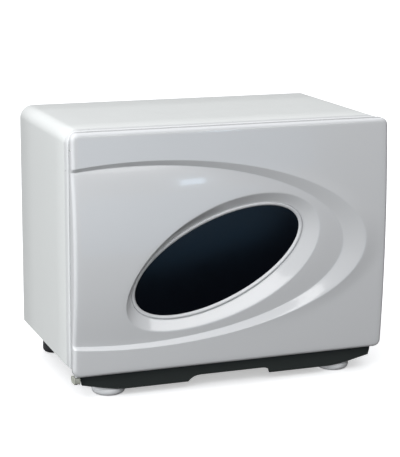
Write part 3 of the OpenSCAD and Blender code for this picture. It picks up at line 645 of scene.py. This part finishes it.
def door_front(shape, dish_start):
    """The front inside the edge fillet. Returns its outline row, sorted round the door."""
    outline = rounded(DOOR_W - 2 * EDGE_R, DOOR_H - 2 * EDGE_R, CORNER_R - EDGE_R, 0, MID_Z, 8, 3.0)
    outline = [p for p in outline if p[0] > 0 or not SLOT_Z[0] - 1 < p[1] < SLOT_Z[1] + 1]
    outline = sorted(outline + [(EDGE_R - DOOR_W / 2, z) for z in SLOT_Z], key=round_door)
    hole = [(p[0], p[2]) for p in dish_start]
    flat = [Vector(p) for p in outline + hole]
    edges = loop_edges(0, len(outline)) + loop_edges(len(outline), len(hole))
    for line in band_lines():
        depth, _ = inset_of(line)
        run = line[(depth > EDGE_R - 4) & (np.abs(depth - EDGE_R) >= 0.5)]
        start = len(flat)
        flat += [Vector(p) for p in run]
        edges += [(start + i, start + i + 1) for i in range(len(run) - 1)]
    flat += [Vector(p) for p in door_grid(6.0)]
    found, _, faces, _, _, _ = delaunay_2d_cdt(flat, edges, [], 0, 1e-5)
    found = np.array([v[:] for v in found])
    middles = np.array([found[list(f)].mean(axis=0) for f in faces])
    keep = (inset_of(middles)[0] > EDGE_R) & ~inside(hole, middles)
    index = shape.loop_at(found, face_y(*found.T))
    shape.faces += [tuple(index[i] for i in f) for f, k in zip(faces, keep) if k]
    used = np.unique([i for f, k in zip(faces, keep) if k for i in f])
    rim = used[np.abs(inset_of(found[used])[0] - EDGE_R) < 2e-3]
    return [index[i] for i in sorted(rim, key=lambda i: round_door(found[i]))]


def door_edge(shape, rim):
    """The rolled edge, the side and the inside of the skin, from the rim of the front to the cavity."""
    flat = np.array([(shape.points[i][0], shape.points[i][2]) for i in rim])
    _, out = inset_of(flat)
    rows = [rim]

    def ring(inset, depth):
        return shape.loop_at(flat + out * (EDGE_R - np.broadcast_to(inset, len(flat)))[:, None], depth)

    for angle in np.radians(np.arange(15, 91, 15)):
        at = flat + out * EDGE_R * math.sin(angle)
        rows.append(ring(EDGE_R * (1 - math.sin(angle)), face_y(*at.T) + EDGE_R * (1 - math.cos(angle))))
    side_end = len(rows) - 1
    # the back corner, cut away on the hinge side so that it clears the casing as the door swings
    cut = 0.7 + 2.8 * np.clip(-out[:, 0], 0, 1) ** 3
    short = np.minimum(cut, SKIN)
    rows.append(ring(0.0, BACK_Y - cut))
    rows.append(ring(short, BACK_Y - cut + short))
    rows.append(ring(SKIN, BACK_Y - cut + short))
    rows.append(ring(SKIN, bow(flat[:, 1]) + CAVITY))
    slot = [i for i in range(len(rim)) if flat[i][0] < 0 and min(abs(flat[i][1] - z) for z in SLOT_Z) < 1e-3]
    low, high = min(slot), max(slot)
    for k, (a, b) in enumerate(zip(rows, rows[1:])):
        for i in range(len(rim)):
            j = (i + 1) % len(rim)
            if k >= side_end and low <= i < high:
                continue
            shape.faces.append((a[i], a[j], b[j], b[i]))
    # the walls of the slot for the upper hinge arm
    for i in (low, high):
        shape.cap([row[i] for row in rows[side_end:]])
    shape.faces.append((rows[side_end][low], rows[side_end][high], rows[-1][high], rows[-1][low]))
    return rows[-1]


def window_tub(shape, dish):
    """The dish, the trim's seat and the tub behind. Returns the tub's outline and its last row."""
    lines = [shape.row(points) for points in dish]
    centre = np.array([GLASS["cx"], GLASS["cz"]])
    ways = window_loop(TRIM_OUT) - centre
    ways /= np.linalg.norm(ways, axis=1)[:, None]
    wide, tall = [to_ellipse(centre, ways, loop) for loop in (grown(GLASS, 11.5), grown(DISH, -3.5))]
    reach = np.maximum(wide, tall)
    tub = centre + ways * reach[:, None]
    lines += shape.rows_at(window_loop, [(LEDGE_IN, SEAT_Y), (TRIM_OUT, SEAT_Y), (TRIM_OUT, PANEL_Y)])
    lines += [shape.loop_at(tub, y) for y in (PANEL_Y, bow(tub[:, 1]) + CAVITY)]
    shape.strips(lines)
    return tub, lines[-1]


def hinge_lugs(shape):
    """Lugs behind the skin for the two pins, open for the upper arm."""
    left, right = -DOOR_W / 2 + 3.6, AXIS_X + 8
    outline = rounded(right - left, 10.5, 0.8, (left + right) / 2, BACK_Y - 5.25, 3, 99)
    lower = (SKIN_LOW.z + 0.4, box_mm("lower_hinge_pin")[1].z + 8)
    for low, high in (lower, (SLOT_Z[0] - 20, SLOT_Z[0]), (SLOT_Z[1], SLOT_Z[1] + 6)):
        prism(shape, outline, low, high, 0.3, "z")


def door_shell():
    """The moulded skin: front with its sweep and dish, rolled edges, hollow back and hinge lugs."""
    shape = Shape()
    dish = dish_rows()
    rim = door_front(shape, dish[0])
    edge = door_edge(shape, rim)
    tub, tub_row = window_tub(shape, dish)
    grid = [(x, z) for x in range(-200, 201, 25) for z in range(50, 345, 25)]
    extra = [p for p in grid if not inside(tub, [p])[0] and min(np.hypot(*(tub - p).T)) > 8]
    shape.fill([edge, tub_row], extra, lambda x, z: float(bow(z) + CAVITY))
    hinge_lugs(shape)
    shape.build("door_shell", "door_white", "door", ["door_skin"], 33)


def trim_ring():
    """The moulded ring round the glass, with a rounded crown and a fine inner lip."""
    shape = Shape()
    section = [(4.9, -9.5), (5.0, -11.2), (4.7, -11.9), (4.0, -12.35), (3.0, -12.5), (2.0, -12.35),
               (1.2, -11.9), (0.7, -11.2), (0.25, -10.6), (0.0, -10.3), (0.0, -9.5)]
    shape.tube(shape.rows_at(window_loop, section))
    shape.build("window_trim", "door_white", "door", ["window_rim"], 60)


def window_pane(name, slot, margin, front, back, dome, replaced):
    """An oval pane with rounded edges, domed towards the front."""
    shape = Shape()
    loop = grown(GLASS, margin)
    round_r, flat_share = 0.6, 0.93
    edge = [(margin - round_r, back), (margin, back - round_r), (margin, front + round_r)]
    rows = shape.rows_at(window_loop, edge)
    for s in (0.996, 0.97, flat_share, 0.88, 0.8, 0.7, 0.6, 0.5, 0.4, 0.3, 0.2, 0.1):
        y = front - dome * (1 - (s / flat_share) ** 2) if s < flat_share else front
        rows.append(shape.loop_at(ellipse(**dict(loop, a=loop["a"] * s, b=loop["b"] * s)), y))
    shape.solid(rows)
    shape.build(name, slot, "door", [replaced], 50)


def panel_outline():
    """The inner panel's outline, with notches round the hinge pins."""
    edge, clear = SKIN + 0.2, 8.2
    left, right = -DOOR_W / 2 + edge, DOOR_W / 2 - edge
    bottom, top = SKIN_LOW.z + edge, SKIN_HIGH.z - edge
    notch_x = AXIS_X + clear
    low_notch = box_mm("lower_hinge_pin")[1].z + clear
    notch_low, notch_high = SLOT_Z[0] - 20.2, SLOT_Z[1] + clear
    r = CORNER_R - edge
    outline = arc(right - r, top - r, r, 0, 90, 8) + arc(left + r, top - r, r, 90, 180, 8)
    outline += [(left, notch_high), (notch_x, notch_high), (notch_x, notch_low), (left, notch_low)]
    outline += [(left, low_notch), (notch_x, low_notch), (notch_x, bottom)]
    return outline + arc(right - r, bottom + r, r, 270, 360, 8)


def inner_panel():
    """Plate behind the foam with a pan pressed towards the chamber and the window cut out."""
    thick, pan_w, pan_h, pan_r = 2.0, 372, 228, 14
    end = box_mm("door_inner_panel")[1].y
    chamber_mid = middle("inner_liner").z
    shape = Shape()

    def pan(inset):
        return rounded(pan_w - 2 * inset, pan_h - 2 * inset, pan_r - inset * 0.8, 0, chamber_mid, 10, 12)

    back, front = [shape.loop_at(panel_outline(), y) for y in (BACK_Y, BACK_Y - thick)]
    shape.strip(back, front)
    section = [(-1.2, BACK_Y), (-0.35, BACK_Y + 0.35), (0, BACK_Y + 1.2), (0, end - 3.0)]
    wall = shape.rows_at(pan, section + [(0.35, end - 1.2), (1.2, end - 0.35), (3.0, end)])
    shape.strips(wall)
    shape.fill([back, wall[0]])
    hole_back, hole_front = shape.rows_at(window_loop, [(-2, end), (-2, end - thick)])
    shape.fill([wall[-1], hole_back])
    shape.strip(hole_back, hole_front)
    inner = shape.rows_at(pan, [(3.6, end - thick), (2.0, end - thick - 1.6), (2.0, BACK_Y - thick)])
    shape.fill([inner[0], hole_front])
    shape.strips(inner)
    shape.fill([front, inner[-1]])
    shape.build("door_pan", "liner_metal", "door", ["door_inner_panel"], 40)


def gasket():
    """Bulb gasket round the pan: a base strip, a hollow-looking bulb and a thin outer lip."""
    low, high = box_mm("door_gasket")
    w, h, corner_r, mid = high.x - low.x, high.z - low.z, 20, middle("door_gasket").z
    back, front = low.y, high.y
    section = [(0.0, back), (0.0, back + 1.0), (-0.2, front - 0.9), (0.3, front - 0.25), (1.2, front - 0.9)]
    section += [(1.6, back + 1.8), (2.2, front - 0.8), (3.2, front), (4.2, front - 0.3), (5.2, front - 1.6)]
    section += [(5.4, back + 1.2), (6.0, back + 0.8), (6.0, back)]
    shape = Shape()
    shape.tube(shape.rows_at(lambda i: rounded(w - 2 * i, h - 2 * i, corner_r - i, 0, mid, 14, 12), section))
    shape.build("door_seal", "gasket_rubber", "door", ["door_gasket"], 60)


# ---- casing

FRAME_LOW, FRAME_HIGH = box_mm("front_frame")
BODY_W, BASE_Z, TOP_Z = FRAME_HIGH.x - FRAME_LOW.x, FRAME_LOW.z, FRAME_HIGH.z
FRAME_DEPTH = FRAME_HIGH.y
BODY_D = box_mm("casing_wrap")[1].y
CASING_R = 18.0


def casing_arch(inset, foot=0.0):
    """The casing's outline from its lower right corner, over the top, to its lower left corner."""
    half, r = BODY_W / 2 - inset, CASING_R - inset
    top = TOP_Z - inset
    sides = np.linspace(BASE_Z + foot, top - r, 12)[:-1]
    across = np.linspace(half - r, r - half, 14)[1:-1]
    points = [(half, z) for z in sides] + arc(half - r, top - r, r, 0, 90, 20)
    points += [(x, top) for x in across] + arc(r - half, top - r, r, 90, 180, 20)
    return points + [(-half, z) for z in sides[::-1]]


def casing_loop(inset):
    """The same outline closed along the bottom, with small lower corners."""
    r = max(0.4, 2.5 - inset)
    half, low = BODY_W / 2 - inset, BASE_Z + inset
    arch = casing_arch(inset, inset + r)
    across = [(x, low) for x in np.linspace(r - half, half - r, 14)[1:-1]]
    left, right = arc(r - half, low + r, r, 180, 270, 6), arc(half - r, low + r, r, 270, 360, 6)
    return arch + left[1:] + across + right[:-1]


def casing_shell():
    """Folded sheet over the top and both sides: rolled edges, a return at the back, flanges below."""
    shape = Shape()
    front, sheet = FRAME_DEPTH, 1.2
    section = [(sheet, front + 0.3), (0.5, front + 0.3), (0.12, front + 0.5), (0.0, front + 0.9)]
    section += [(0.0, 60), (0.0, 120), (0.0, 180), (0.0, BODY_D - 0.5), (0.12, BODY_D - 0.12), (0.5, BODY_D)]
    section += [(0.8, BODY_D), (1.1, BODY_D - 0.12), (sheet, BODY_D - 0.5), (sheet, 130)]
    shape.bar(shape.rows_at(casing_arch, section))
    for side in (-1, 1):
        x0, x1 = sorted((side * (BODY_W / 2 - 1.0), side * (BODY_W / 2 - 14)))
        flange = [(x0, front), (x1, front), (x1, BODY_D - 2.5), (x0, BODY_D - 2.5)]
        prism(shape, flange, BASE_Z + sheet, BASE_Z + 2 * sheet, 0.2, "z")
    back = BODY_D - 2 * sheet
    fold = [(0.8, back), (10, back), (10, back + 1.1), (0.8, back + 1.1)]
    shape.bar([shape.loop_at(casing_arch(i, 2 * sheet), y) for i, y in fold])
    shape.build("casing_shell", "casing_white", "cabinet", ["casing_wrap"], 40)


def front_bezel():
    """Moulded frame round the chamber mouth, with a rounded lip that the door closes against."""
    shape = Shape()
    low, high = box_mm("catch_magnet")
    mid, plunger = middle("inner_liner").z, middle("door_switch_plunger")
    mouth_w, mouth_h, mouth_r = 392, 240, 12
    face, back = 3.0, 6.0

    def mouth(margin):
        return rounded(mouth_w + 2 * margin, mouth_h + 2 * margin, mouth_r + margin, 0, mid, 12, 12)

    rim = [(0.3, FRAME_DEPTH), (0, FRAME_DEPTH - 0.3), (0, 9), (0, 2.4), (0.15, 1.5), (0.55, 0.7), (1.1, 0.2)]
    rim += [(1.8, 0.0), (2.4, 0.15), (2.85, 0.6), (3.0, 1.2), (3.0, face)]
    rows = shape.rows_at(casing_loop, rim)
    lip = shape.rows_at(mouth, [(1.0, face), (0.3, 3.3), (0.0, 4.0), (0.0, back)])
    magnet = rounded(11, high.z - low.z - 6, 1.0, middle("catch_magnet").x, mid, 4, 99)
    hole = ellipse(plunger.x, plunger.z, 2.05, 2.05, 0, 32)
    front_holes, back_holes = [[shape.loop_at(magnet, y), shape.loop_at(hole, y)] for y in (face, back)]
    shape.strips(rows)
    shape.strips(lip)
    shape.fill([rows[-1], lip[0]] + front_holes)
    for a, b in zip(front_holes, back_holes):
        shape.strip(a, b)
    inner = shape.rows_at(casing_loop, [(3.0, back), (3.0, FRAME_DEPTH)])
    shape.fill([inner[0], lip[-1]] + back_holes)
    shape.strip(inner[0], inner[1])
    shape.strip(inner[1], rows[0])
    shape.build("front_bezel", "frame_white", "cabinet", ["front_frame"], 40)


def louvre(shape, x, low):
    """One pressed hood that swells out of the back panel."""
    length, half_w, depth = 26, 2.6, 2.3
    section = [(0.2 + depth * math.sin(a), half_w * math.cos(a)) for a in np.linspace(0, math.pi, 9)]
    rows = []
    for s in np.linspace(0, 1, 7):
        bulge = math.sin(math.pi * (0.04 + 0.92 * s)) ** 0.4
        z = low + length * s
        rows.append(shape.row([(x + v * bulge, BODY_D - 0.6 + u * bulge, z) for u, v in section]))
    shape.solid(rows)


def louvre_hoods():
    """A hood over each slot of the back panel: two rows on each side."""
    shape = Shape()
    for side in (-1, 1):
        for x in range(30, 151, 12):
            for low in (262, 296):
                louvre(shape, side * x + 2, low)
    shape.build("louvre_hoods", "casing_white", "cabinet", (), 50)


# ---- feet, hinge, tray and racks


def feet(name, slot, node, radius, profile, count):
    """The left and right foot of one CAD node, turned from a profile."""
    shape = Shape()
    x, y = box_mm(node)[1].x - radius, middle(node).y
    for side in (-1, 1):
        lathe(shape, side * x, y, profile, count)
    shape.build(name, slot, "cabinet", [node], 50)


def front_feet():
    """A wide bowl on the floor under a neck."""
    r = 23.0
    bowl = [(0.02, 0.0), (14.6, 0.0), (15.4, 0.12)]
    bowl += [(16.5 + 6.5 * math.cos(a), 6.5 - 6.5 * math.sin(a)) for a in np.linspace(1.4, 0, 14)]
    bowl += [(r, 8.2), (22.7, 9.2), (21.9, 10.3), (20.2, 12.2), (17.2, 15.8), (15.2, 18.2), (14.3, 19.8)]
    bowl += [(14.0, 22), (14.0, 42.6), (13.6, 43.6), (12.8, 44), (0.02, 44)]
    feet("front_feet_turned", "foot_silver", "front_feet", r, bowl, 96)


def rear_feet():
    """A plain rubber post with one groove."""
    r = 15.0
    post = [(0.02, 0), (8.6, 0), (9.4, 0.15)]
    post += [(9 + 6 * math.cos(a), 6.2 - 6 * math.sin(a)) for a in np.linspace(1.4, 0, 9)]
    post += [(r, 10), (14.6, 10.5), (14.6, 11.3), (r, 11.8), (r, 43.2), (14.4, 44), (0.02, 44)]
    feet("rear_feet_turned", "foot_rubber", "rear_feet", r, post, 64)


def lower_bracket():
    """Bracket for the door's lower pin: a rounded lug, an arm behind the tray's front and a leaf."""
    low, high = box_mm("lower_hinge_bracket")
    shape = Shape()
    x0, z0, top = low.x, low.z, high.z
    lug_top, lug_end = z0 + 10, 6.0
    lug = arc(low.y + 4, z0 + 4, 4, 180, 270, 8) + arc(lug_end - 4, z0 + 4, 4, 270, 360, 8)
    lug += arc(lug_end - 2, lug_top - 2, 2, 0, 90, 5) + arc(low.y + 2, lug_top - 2, 2, 90, 180, 5)
    prism(shape, lug, x0, x0 + 8, 0.8, "x")
    arm = arc(14, z0 + 3, 2, 270, 360, 5) + [(16, top), (7, top), (7, z0 + 11)]
    arm += arc(5, z0 + 11, 2, 0, -90, 5)[1:] + [(1, z0 + 9), (1, z0 + 1)]
    prism(shape, arm, x0 + 7.2, x0 + 16, 0.6, "x")
    leaf_x, leaf_y = x0 + 9, 7.0
    leaf = rounded(high.x - leaf_x, high.y - leaf_y, 2.5, (leaf_x + high.x) / 2, (leaf_y + high.y) / 2, 6, 99)
    prism(shape, leaf, top - 3, top, 0.4, "z")
    shape.build("lower_bracket", "bracket_beige", "cabinet", ["lower_hinge_bracket"], 45)


def tray_front(half, base, top):
    """Outline of the tray's front: raised ends and a finger notch, steeper at its right end."""
    end = arc(half - 4, base + 12.5, 2, 286, 352, 6)
    slope = [(146, 0), (152, 0.2), (165, 1.6), (181, 4.5)]
    rise = [(-60.6, 0), (-59.8, 0.3), (-57.5, 2.7), (-54, 5.2), (-51.5, 6.4), (-49, 7.1), (-45.5, 7.7)]
    fall = [(-42, 8), (49, 8), (52.5, 7.6), (55.2, 6.8), (56.8, 5.8), (57.6, 4.6), (58.7, 0.5), (59.2, 0)]
    outline = arc(half - 2, top - 2, 2, 0, 90, 6) + arc(2 - half, top - 2, 2, 90, 180, 6)
    outline += [(-x, z) for x, z in end[::-1]] + [(-x, base + z) for x, z in slope[::-1]]
    outline += [(x, base + z) for x, z in rise + fall + slope]
    return outline + end


def tray_pan(shape, base):
    """A shallow pan with ribs on its floor and lips that run in the rails."""
    width, depth, back = 256, 149.6, 147.5
    floor_z, rim = base + 8, base + 19
    section = [(2.2, floor_z), (0.9, floor_z + 0.4), (0.4, floor_z + 1.6), (0, rim - 0.5), (0.4, rim)]
    section += [(1.6, rim), (2.0, rim - 0.5), (2.4, floor_z + 3.6), (3.4, floor_z + 2.3), (5, floor_z + 2)]
    rows = []
    for inset, z in section:
        loop = rounded(width - 2 * inset, depth - 2 * inset, 5 - min(3, inset), 0, back - depth / 2, 6, 30)
        rows.append(shape.row([(x, y, z) for x, y in loop]))
    shape.solid(rows)
    for x in range(-90, 91, 30):
        prism(shape, rounded(3, 110, 1.4, x, back - 75, 6, 99), floor_z + 1.6, floor_z + 3.2, 0.5, "z")
    lip_low = box_mm("tray_rails")[0].z + 1.8
    for side in (-1, 1):
        x0, x1 = sorted((side * 127, side * 136))
        prism(shape, [(x0, 12), (x1, 13.5), (x1, 143.5), (x0, 145)], lip_low, lip_low + 1.5, 0.3, "z")


def tray():
    """Drip tray: a moulded front with a shallow pan behind it."""
    low, high = box_mm("drip_tray")
    shape = Shape()
    prism(shape, tray_front(high.x, low.z, high.z), low.y, low.y + 3, 0.9)
    tray_pan(shape, low.z)
    shape.build("drip_tray_moulded", "tray_black", "tray", ["drip_tray"], 45)


def rack(node, body):
    """Welded wire rack: a bent frame, a cross wire and bars with small weld beads."""
    low, high = box_mm(node)
    frame_r, cross_r, bar_r = 2.0, 1.7, 1.3
    shape = Shape()
    z, mid_y = low.z + frame_r, (low.y + high.y) / 2
    loop = rounded(high.x - low.x - 2 * frame_r, high.y - low.y - 2 * frame_r, 10, 0, mid_y, 12, 40)
    wire(shape, [(x, y, z) for x, y in loop], frame_r, closed=True, count=18)
    half = high.x - frame_r
    wire(shape, [(-half, mid_y, z), (half, mid_y, z)], cross_r)
    bar_z = high.z - bar_r
    y0, y1 = low.y + frame_r, high.y - frame_r
    bead = [(r, bar_z - 1.1 + h) for r, h in ((0.02, -0.9), (1.1, -0.7), (1.75, 0), (1.1, 0.7), (0.02, 0.9))]
    for x in np.linspace(-(half - 14), half - 14, 17):
        ends = [(y0 - 0.9, bar_z - 0.6), (y0 + 0.4, bar_z), (y1 - 0.4, bar_z), (y1 + 0.9, bar_z - 0.6)]
        wire(shape, [(x, y, h) for y, h in ends], bar_r, count=12)
        for y in (y0, mid_y, y1):
            lathe(shape, x, y, bead, 10)
    shape.build(node + "_wires", "rack_chrome", body, [node], 70)


def dress_cad():
    """Every CAD node that still shows takes its slot's material; plain boxes get softened edges."""
    widths = {0.2: "catch_strike", 0.3: "upper_hinge_bracket base_pan", 0.35: "tray_rails",
              0.4: "heat_switch_housing lamp_switch_housing catch_magnet", 0.6: "lamp_ballast",
              0.5: "power_inlet heat_rocker lamp_rocker terminal_block door_switch_housing",
              0.8: "lamp_starter lamp_holders"}
    soft = {name: width for width, names in widths.items() for name in names.split()}
    for name, obj in frame["nodes"].items():
        obj.data.materials.clear()
        obj.data.materials.append(MATERIALS[SLOT_OF[name]])
        if name in soft:
            weld = obj.modifiers.new("weld", "WELD")
            weld.merge_threshold = 2e-5
            bevel = obj.modifiers.new("bevel", "BEVEL")
            bevel.width = soft[name] * MM
            bevel.segments = 2
            bevel.limit_method = "ANGLE"
            bevel.angle_limit = math.radians(50)


# ---- studio


def studio_floor():
    """A pale round floor that curves up into a wall, in metres."""
    flat, curve, top, count = 9.0, 3.0, 12.0, 72
    profile = [(0.3, 0.0), (2.0, 0.0), (flat, 0.0)]
    profile += [(flat + curve * math.sin(a), curve - curve * math.cos(a))
                for a in np.linspace(0.1, math.pi / 2, 14)]
    profile += [(flat + curve, top)]
    turns = [k * math.tau / count for k in range(count)]
    points = [(r * math.cos(t), r * math.sin(t), z) for r, z in profile for t in turns]
    faces = [tuple(range(count))]
    for start in range(0, count * (len(profile) - 1), count):
        for k in range(count):
            j = (k + 1) % count
            faces.append((start + j, start + k, start + count + k, start + count + j))
    data = bpy.data.meshes.new("studio_floor")
    data.from_pydata(points, [], faces)
    for face in data.polygons:
        face.use_smooth = True
    floor = add_object("studio_floor", data)
    data.materials.append(floor_white().material)
    floor.visible_diffuse = floor.visible_glossy = floor.visible_shadow = False


def softboxes():
    """Soft light from the left, low and high in front, with tinted patches for the door to mirror."""
    front_left = softbox("front_left", (-0.9, -0.8, 0.5), (-0.1, 0, 0.2), (0.8, 0.8), 3.9, (0.93, 0.98, 1.0))
    low_front = softbox("low_front", (0.4, -1.7, 0.1), (0.1, 0, 0.03), (0.9, 0.12), 1.2)
    front_left.visible_glossy = low_front.visible_glossy = False
    softbox("over_front", (-0.3, -1.9, 2.0), (-0.1, -0.1, 0.15), (1.1, 0.55), 2.6)
    window = softbox("window", (1.05, -2.93, 0.56), (0, -0.13, 0.28), (0.12, 0.08), 0.3, (0.6, 0.8, 1.0))
    blue = (0.25, 0.6, 1.0)
    blue_wall = softbox("blue_wall", (0.92, -2.96, -0.03), (0, -0.13, 0.2), (0.9, 0.9), 1.25, blue)
    by_camera = softbox("by_camera", (0.6, -2.5, 0.85), (0, -0.13, 0.15), (1.4, 0.3), 5.2)
    window.visible_diffuse = blue_wall.visible_diffuse = by_camera.visible_diffuse = False


def weak_sun():
    """A weak, very soft sun from high on the left."""
    sun = bpy.data.lights.new("high_left", "SUN")
    sun.energy, sun.angle, sun.color = 0.3, math.radians(50), (1.0, 0.995, 0.98)
    obj = add_object("high_left", sun)
    obj.rotation_euler = Vector((0.75, 0.1, -0.65)).to_track_quat("-Z", "Y").to_euler()


def open_sky():
    """Bright high on the left in front, falling away to dark low on the right."""
    world = bpy.data.worlds.new("studio_world")
    world.use_nodes = True
    tree = world.node_tree
    back = tree.nodes["Background"]
    coords = tree.nodes.new("ShaderNodeTexCoord")
    lean = tree.nodes.new("ShaderNodeVectorMath")
    lean.operation = "DOT_PRODUCT"
    lean.inputs[1].default_value = Vector((-0.48, -0.02, 0.88)).normalized()
    tree.links.new(coords.outputs["Generated"], lean.inputs[0])
    glow = tree.nodes.new("ShaderNodeMapRange")
    glow.interpolation_type = "SMOOTHSTEP"
    for key, value in {"From Min": -0.2, "From Max": 0.75, "To Min": 0.03, "To Max": 1.22}.items():
        glow.inputs[key].default_value = value
    tree.links.new(lean.outputs["Value"], glow.inputs["Value"])
    tree.links.new(glow.outputs["Result"], back.inputs["Strength"])
    back.inputs["Color"].default_value = (0.97, 0.98, 1.0, 1)
    return world


def softbox(name, at, goal, size, power, color=(1.0, 1.0, 1.0)):
    """A rectangular lamp that faces its goal and that the camera doesn't see."""
    light = bpy.data.lights.new(name, "AREA")
    light.shape = "RECTANGLE"
    light.size, light.size_y = size
    light.energy, light.color = power, color
    obj = add_object(name, light)
    obj.location = at
    obj.rotation_euler = (Vector(goal) - Vector(at)).to_track_quat("-Z", "Y").to_euler()
    obj.visible_camera = False
    return obj


def camera():
    """A long lens from the front left, a little above the cabinet."""
    stand = Vector((-0.7432, -1.9692, 0.6734))
    yaw, pitch, roll = math.radians(20.65), math.radians(12.85), math.radians(0.43)
    ahead = Vector((math.sin(yaw) * math.cos(pitch), math.cos(yaw) * math.cos(pitch), -math.sin(pitch)))
    right = Vector((math.cos(yaw), -math.sin(yaw), 0))
    up = right.cross(ahead)
    tilted_right = math.cos(roll) * right + math.sin(roll) * up
    tilted_up = math.cos(roll) * up - math.sin(roll) * right
    data = bpy.data.cameras.new("camera")
    data.sensor_width, data.lens = 36.0, 120.4
    obj = add_object("camera", data)
    matrix = Matrix((tilted_right, tilted_up, -ahead)).transposed().to_4x4()
    matrix.translation = stand
    obj.matrix_world = matrix
    bpy.context.scene.camera = obj


door_shell()
trim_ring()
window_pane("window_glass_domed", "window_dark", 8.7, SEAT_Y, SEAT_Y + 4, 1.8, "window_glass")
inner_low, inner_high = box_mm("window_inner_pane")
window_pane("window_pane_inner", "pane_clear", 8.0, inner_low.y, inner_high.y, 0.0, "window_inner_pane")
inner_panel()
gasket()
casing_shell()
front_bezel()
louvre_hoods()
front_feet()
rear_feet()
lower_bracket()
tray()
rack("upper_rack", "rack_upper")
rack("lower_rack", "rack_lower")
dress_cad()
studio_floor()
bpy.context.scene.world = open_sky()
softboxes()
weak_sun()
camera()
bpy.context.scene.view_settings.view_transform = "Standard"
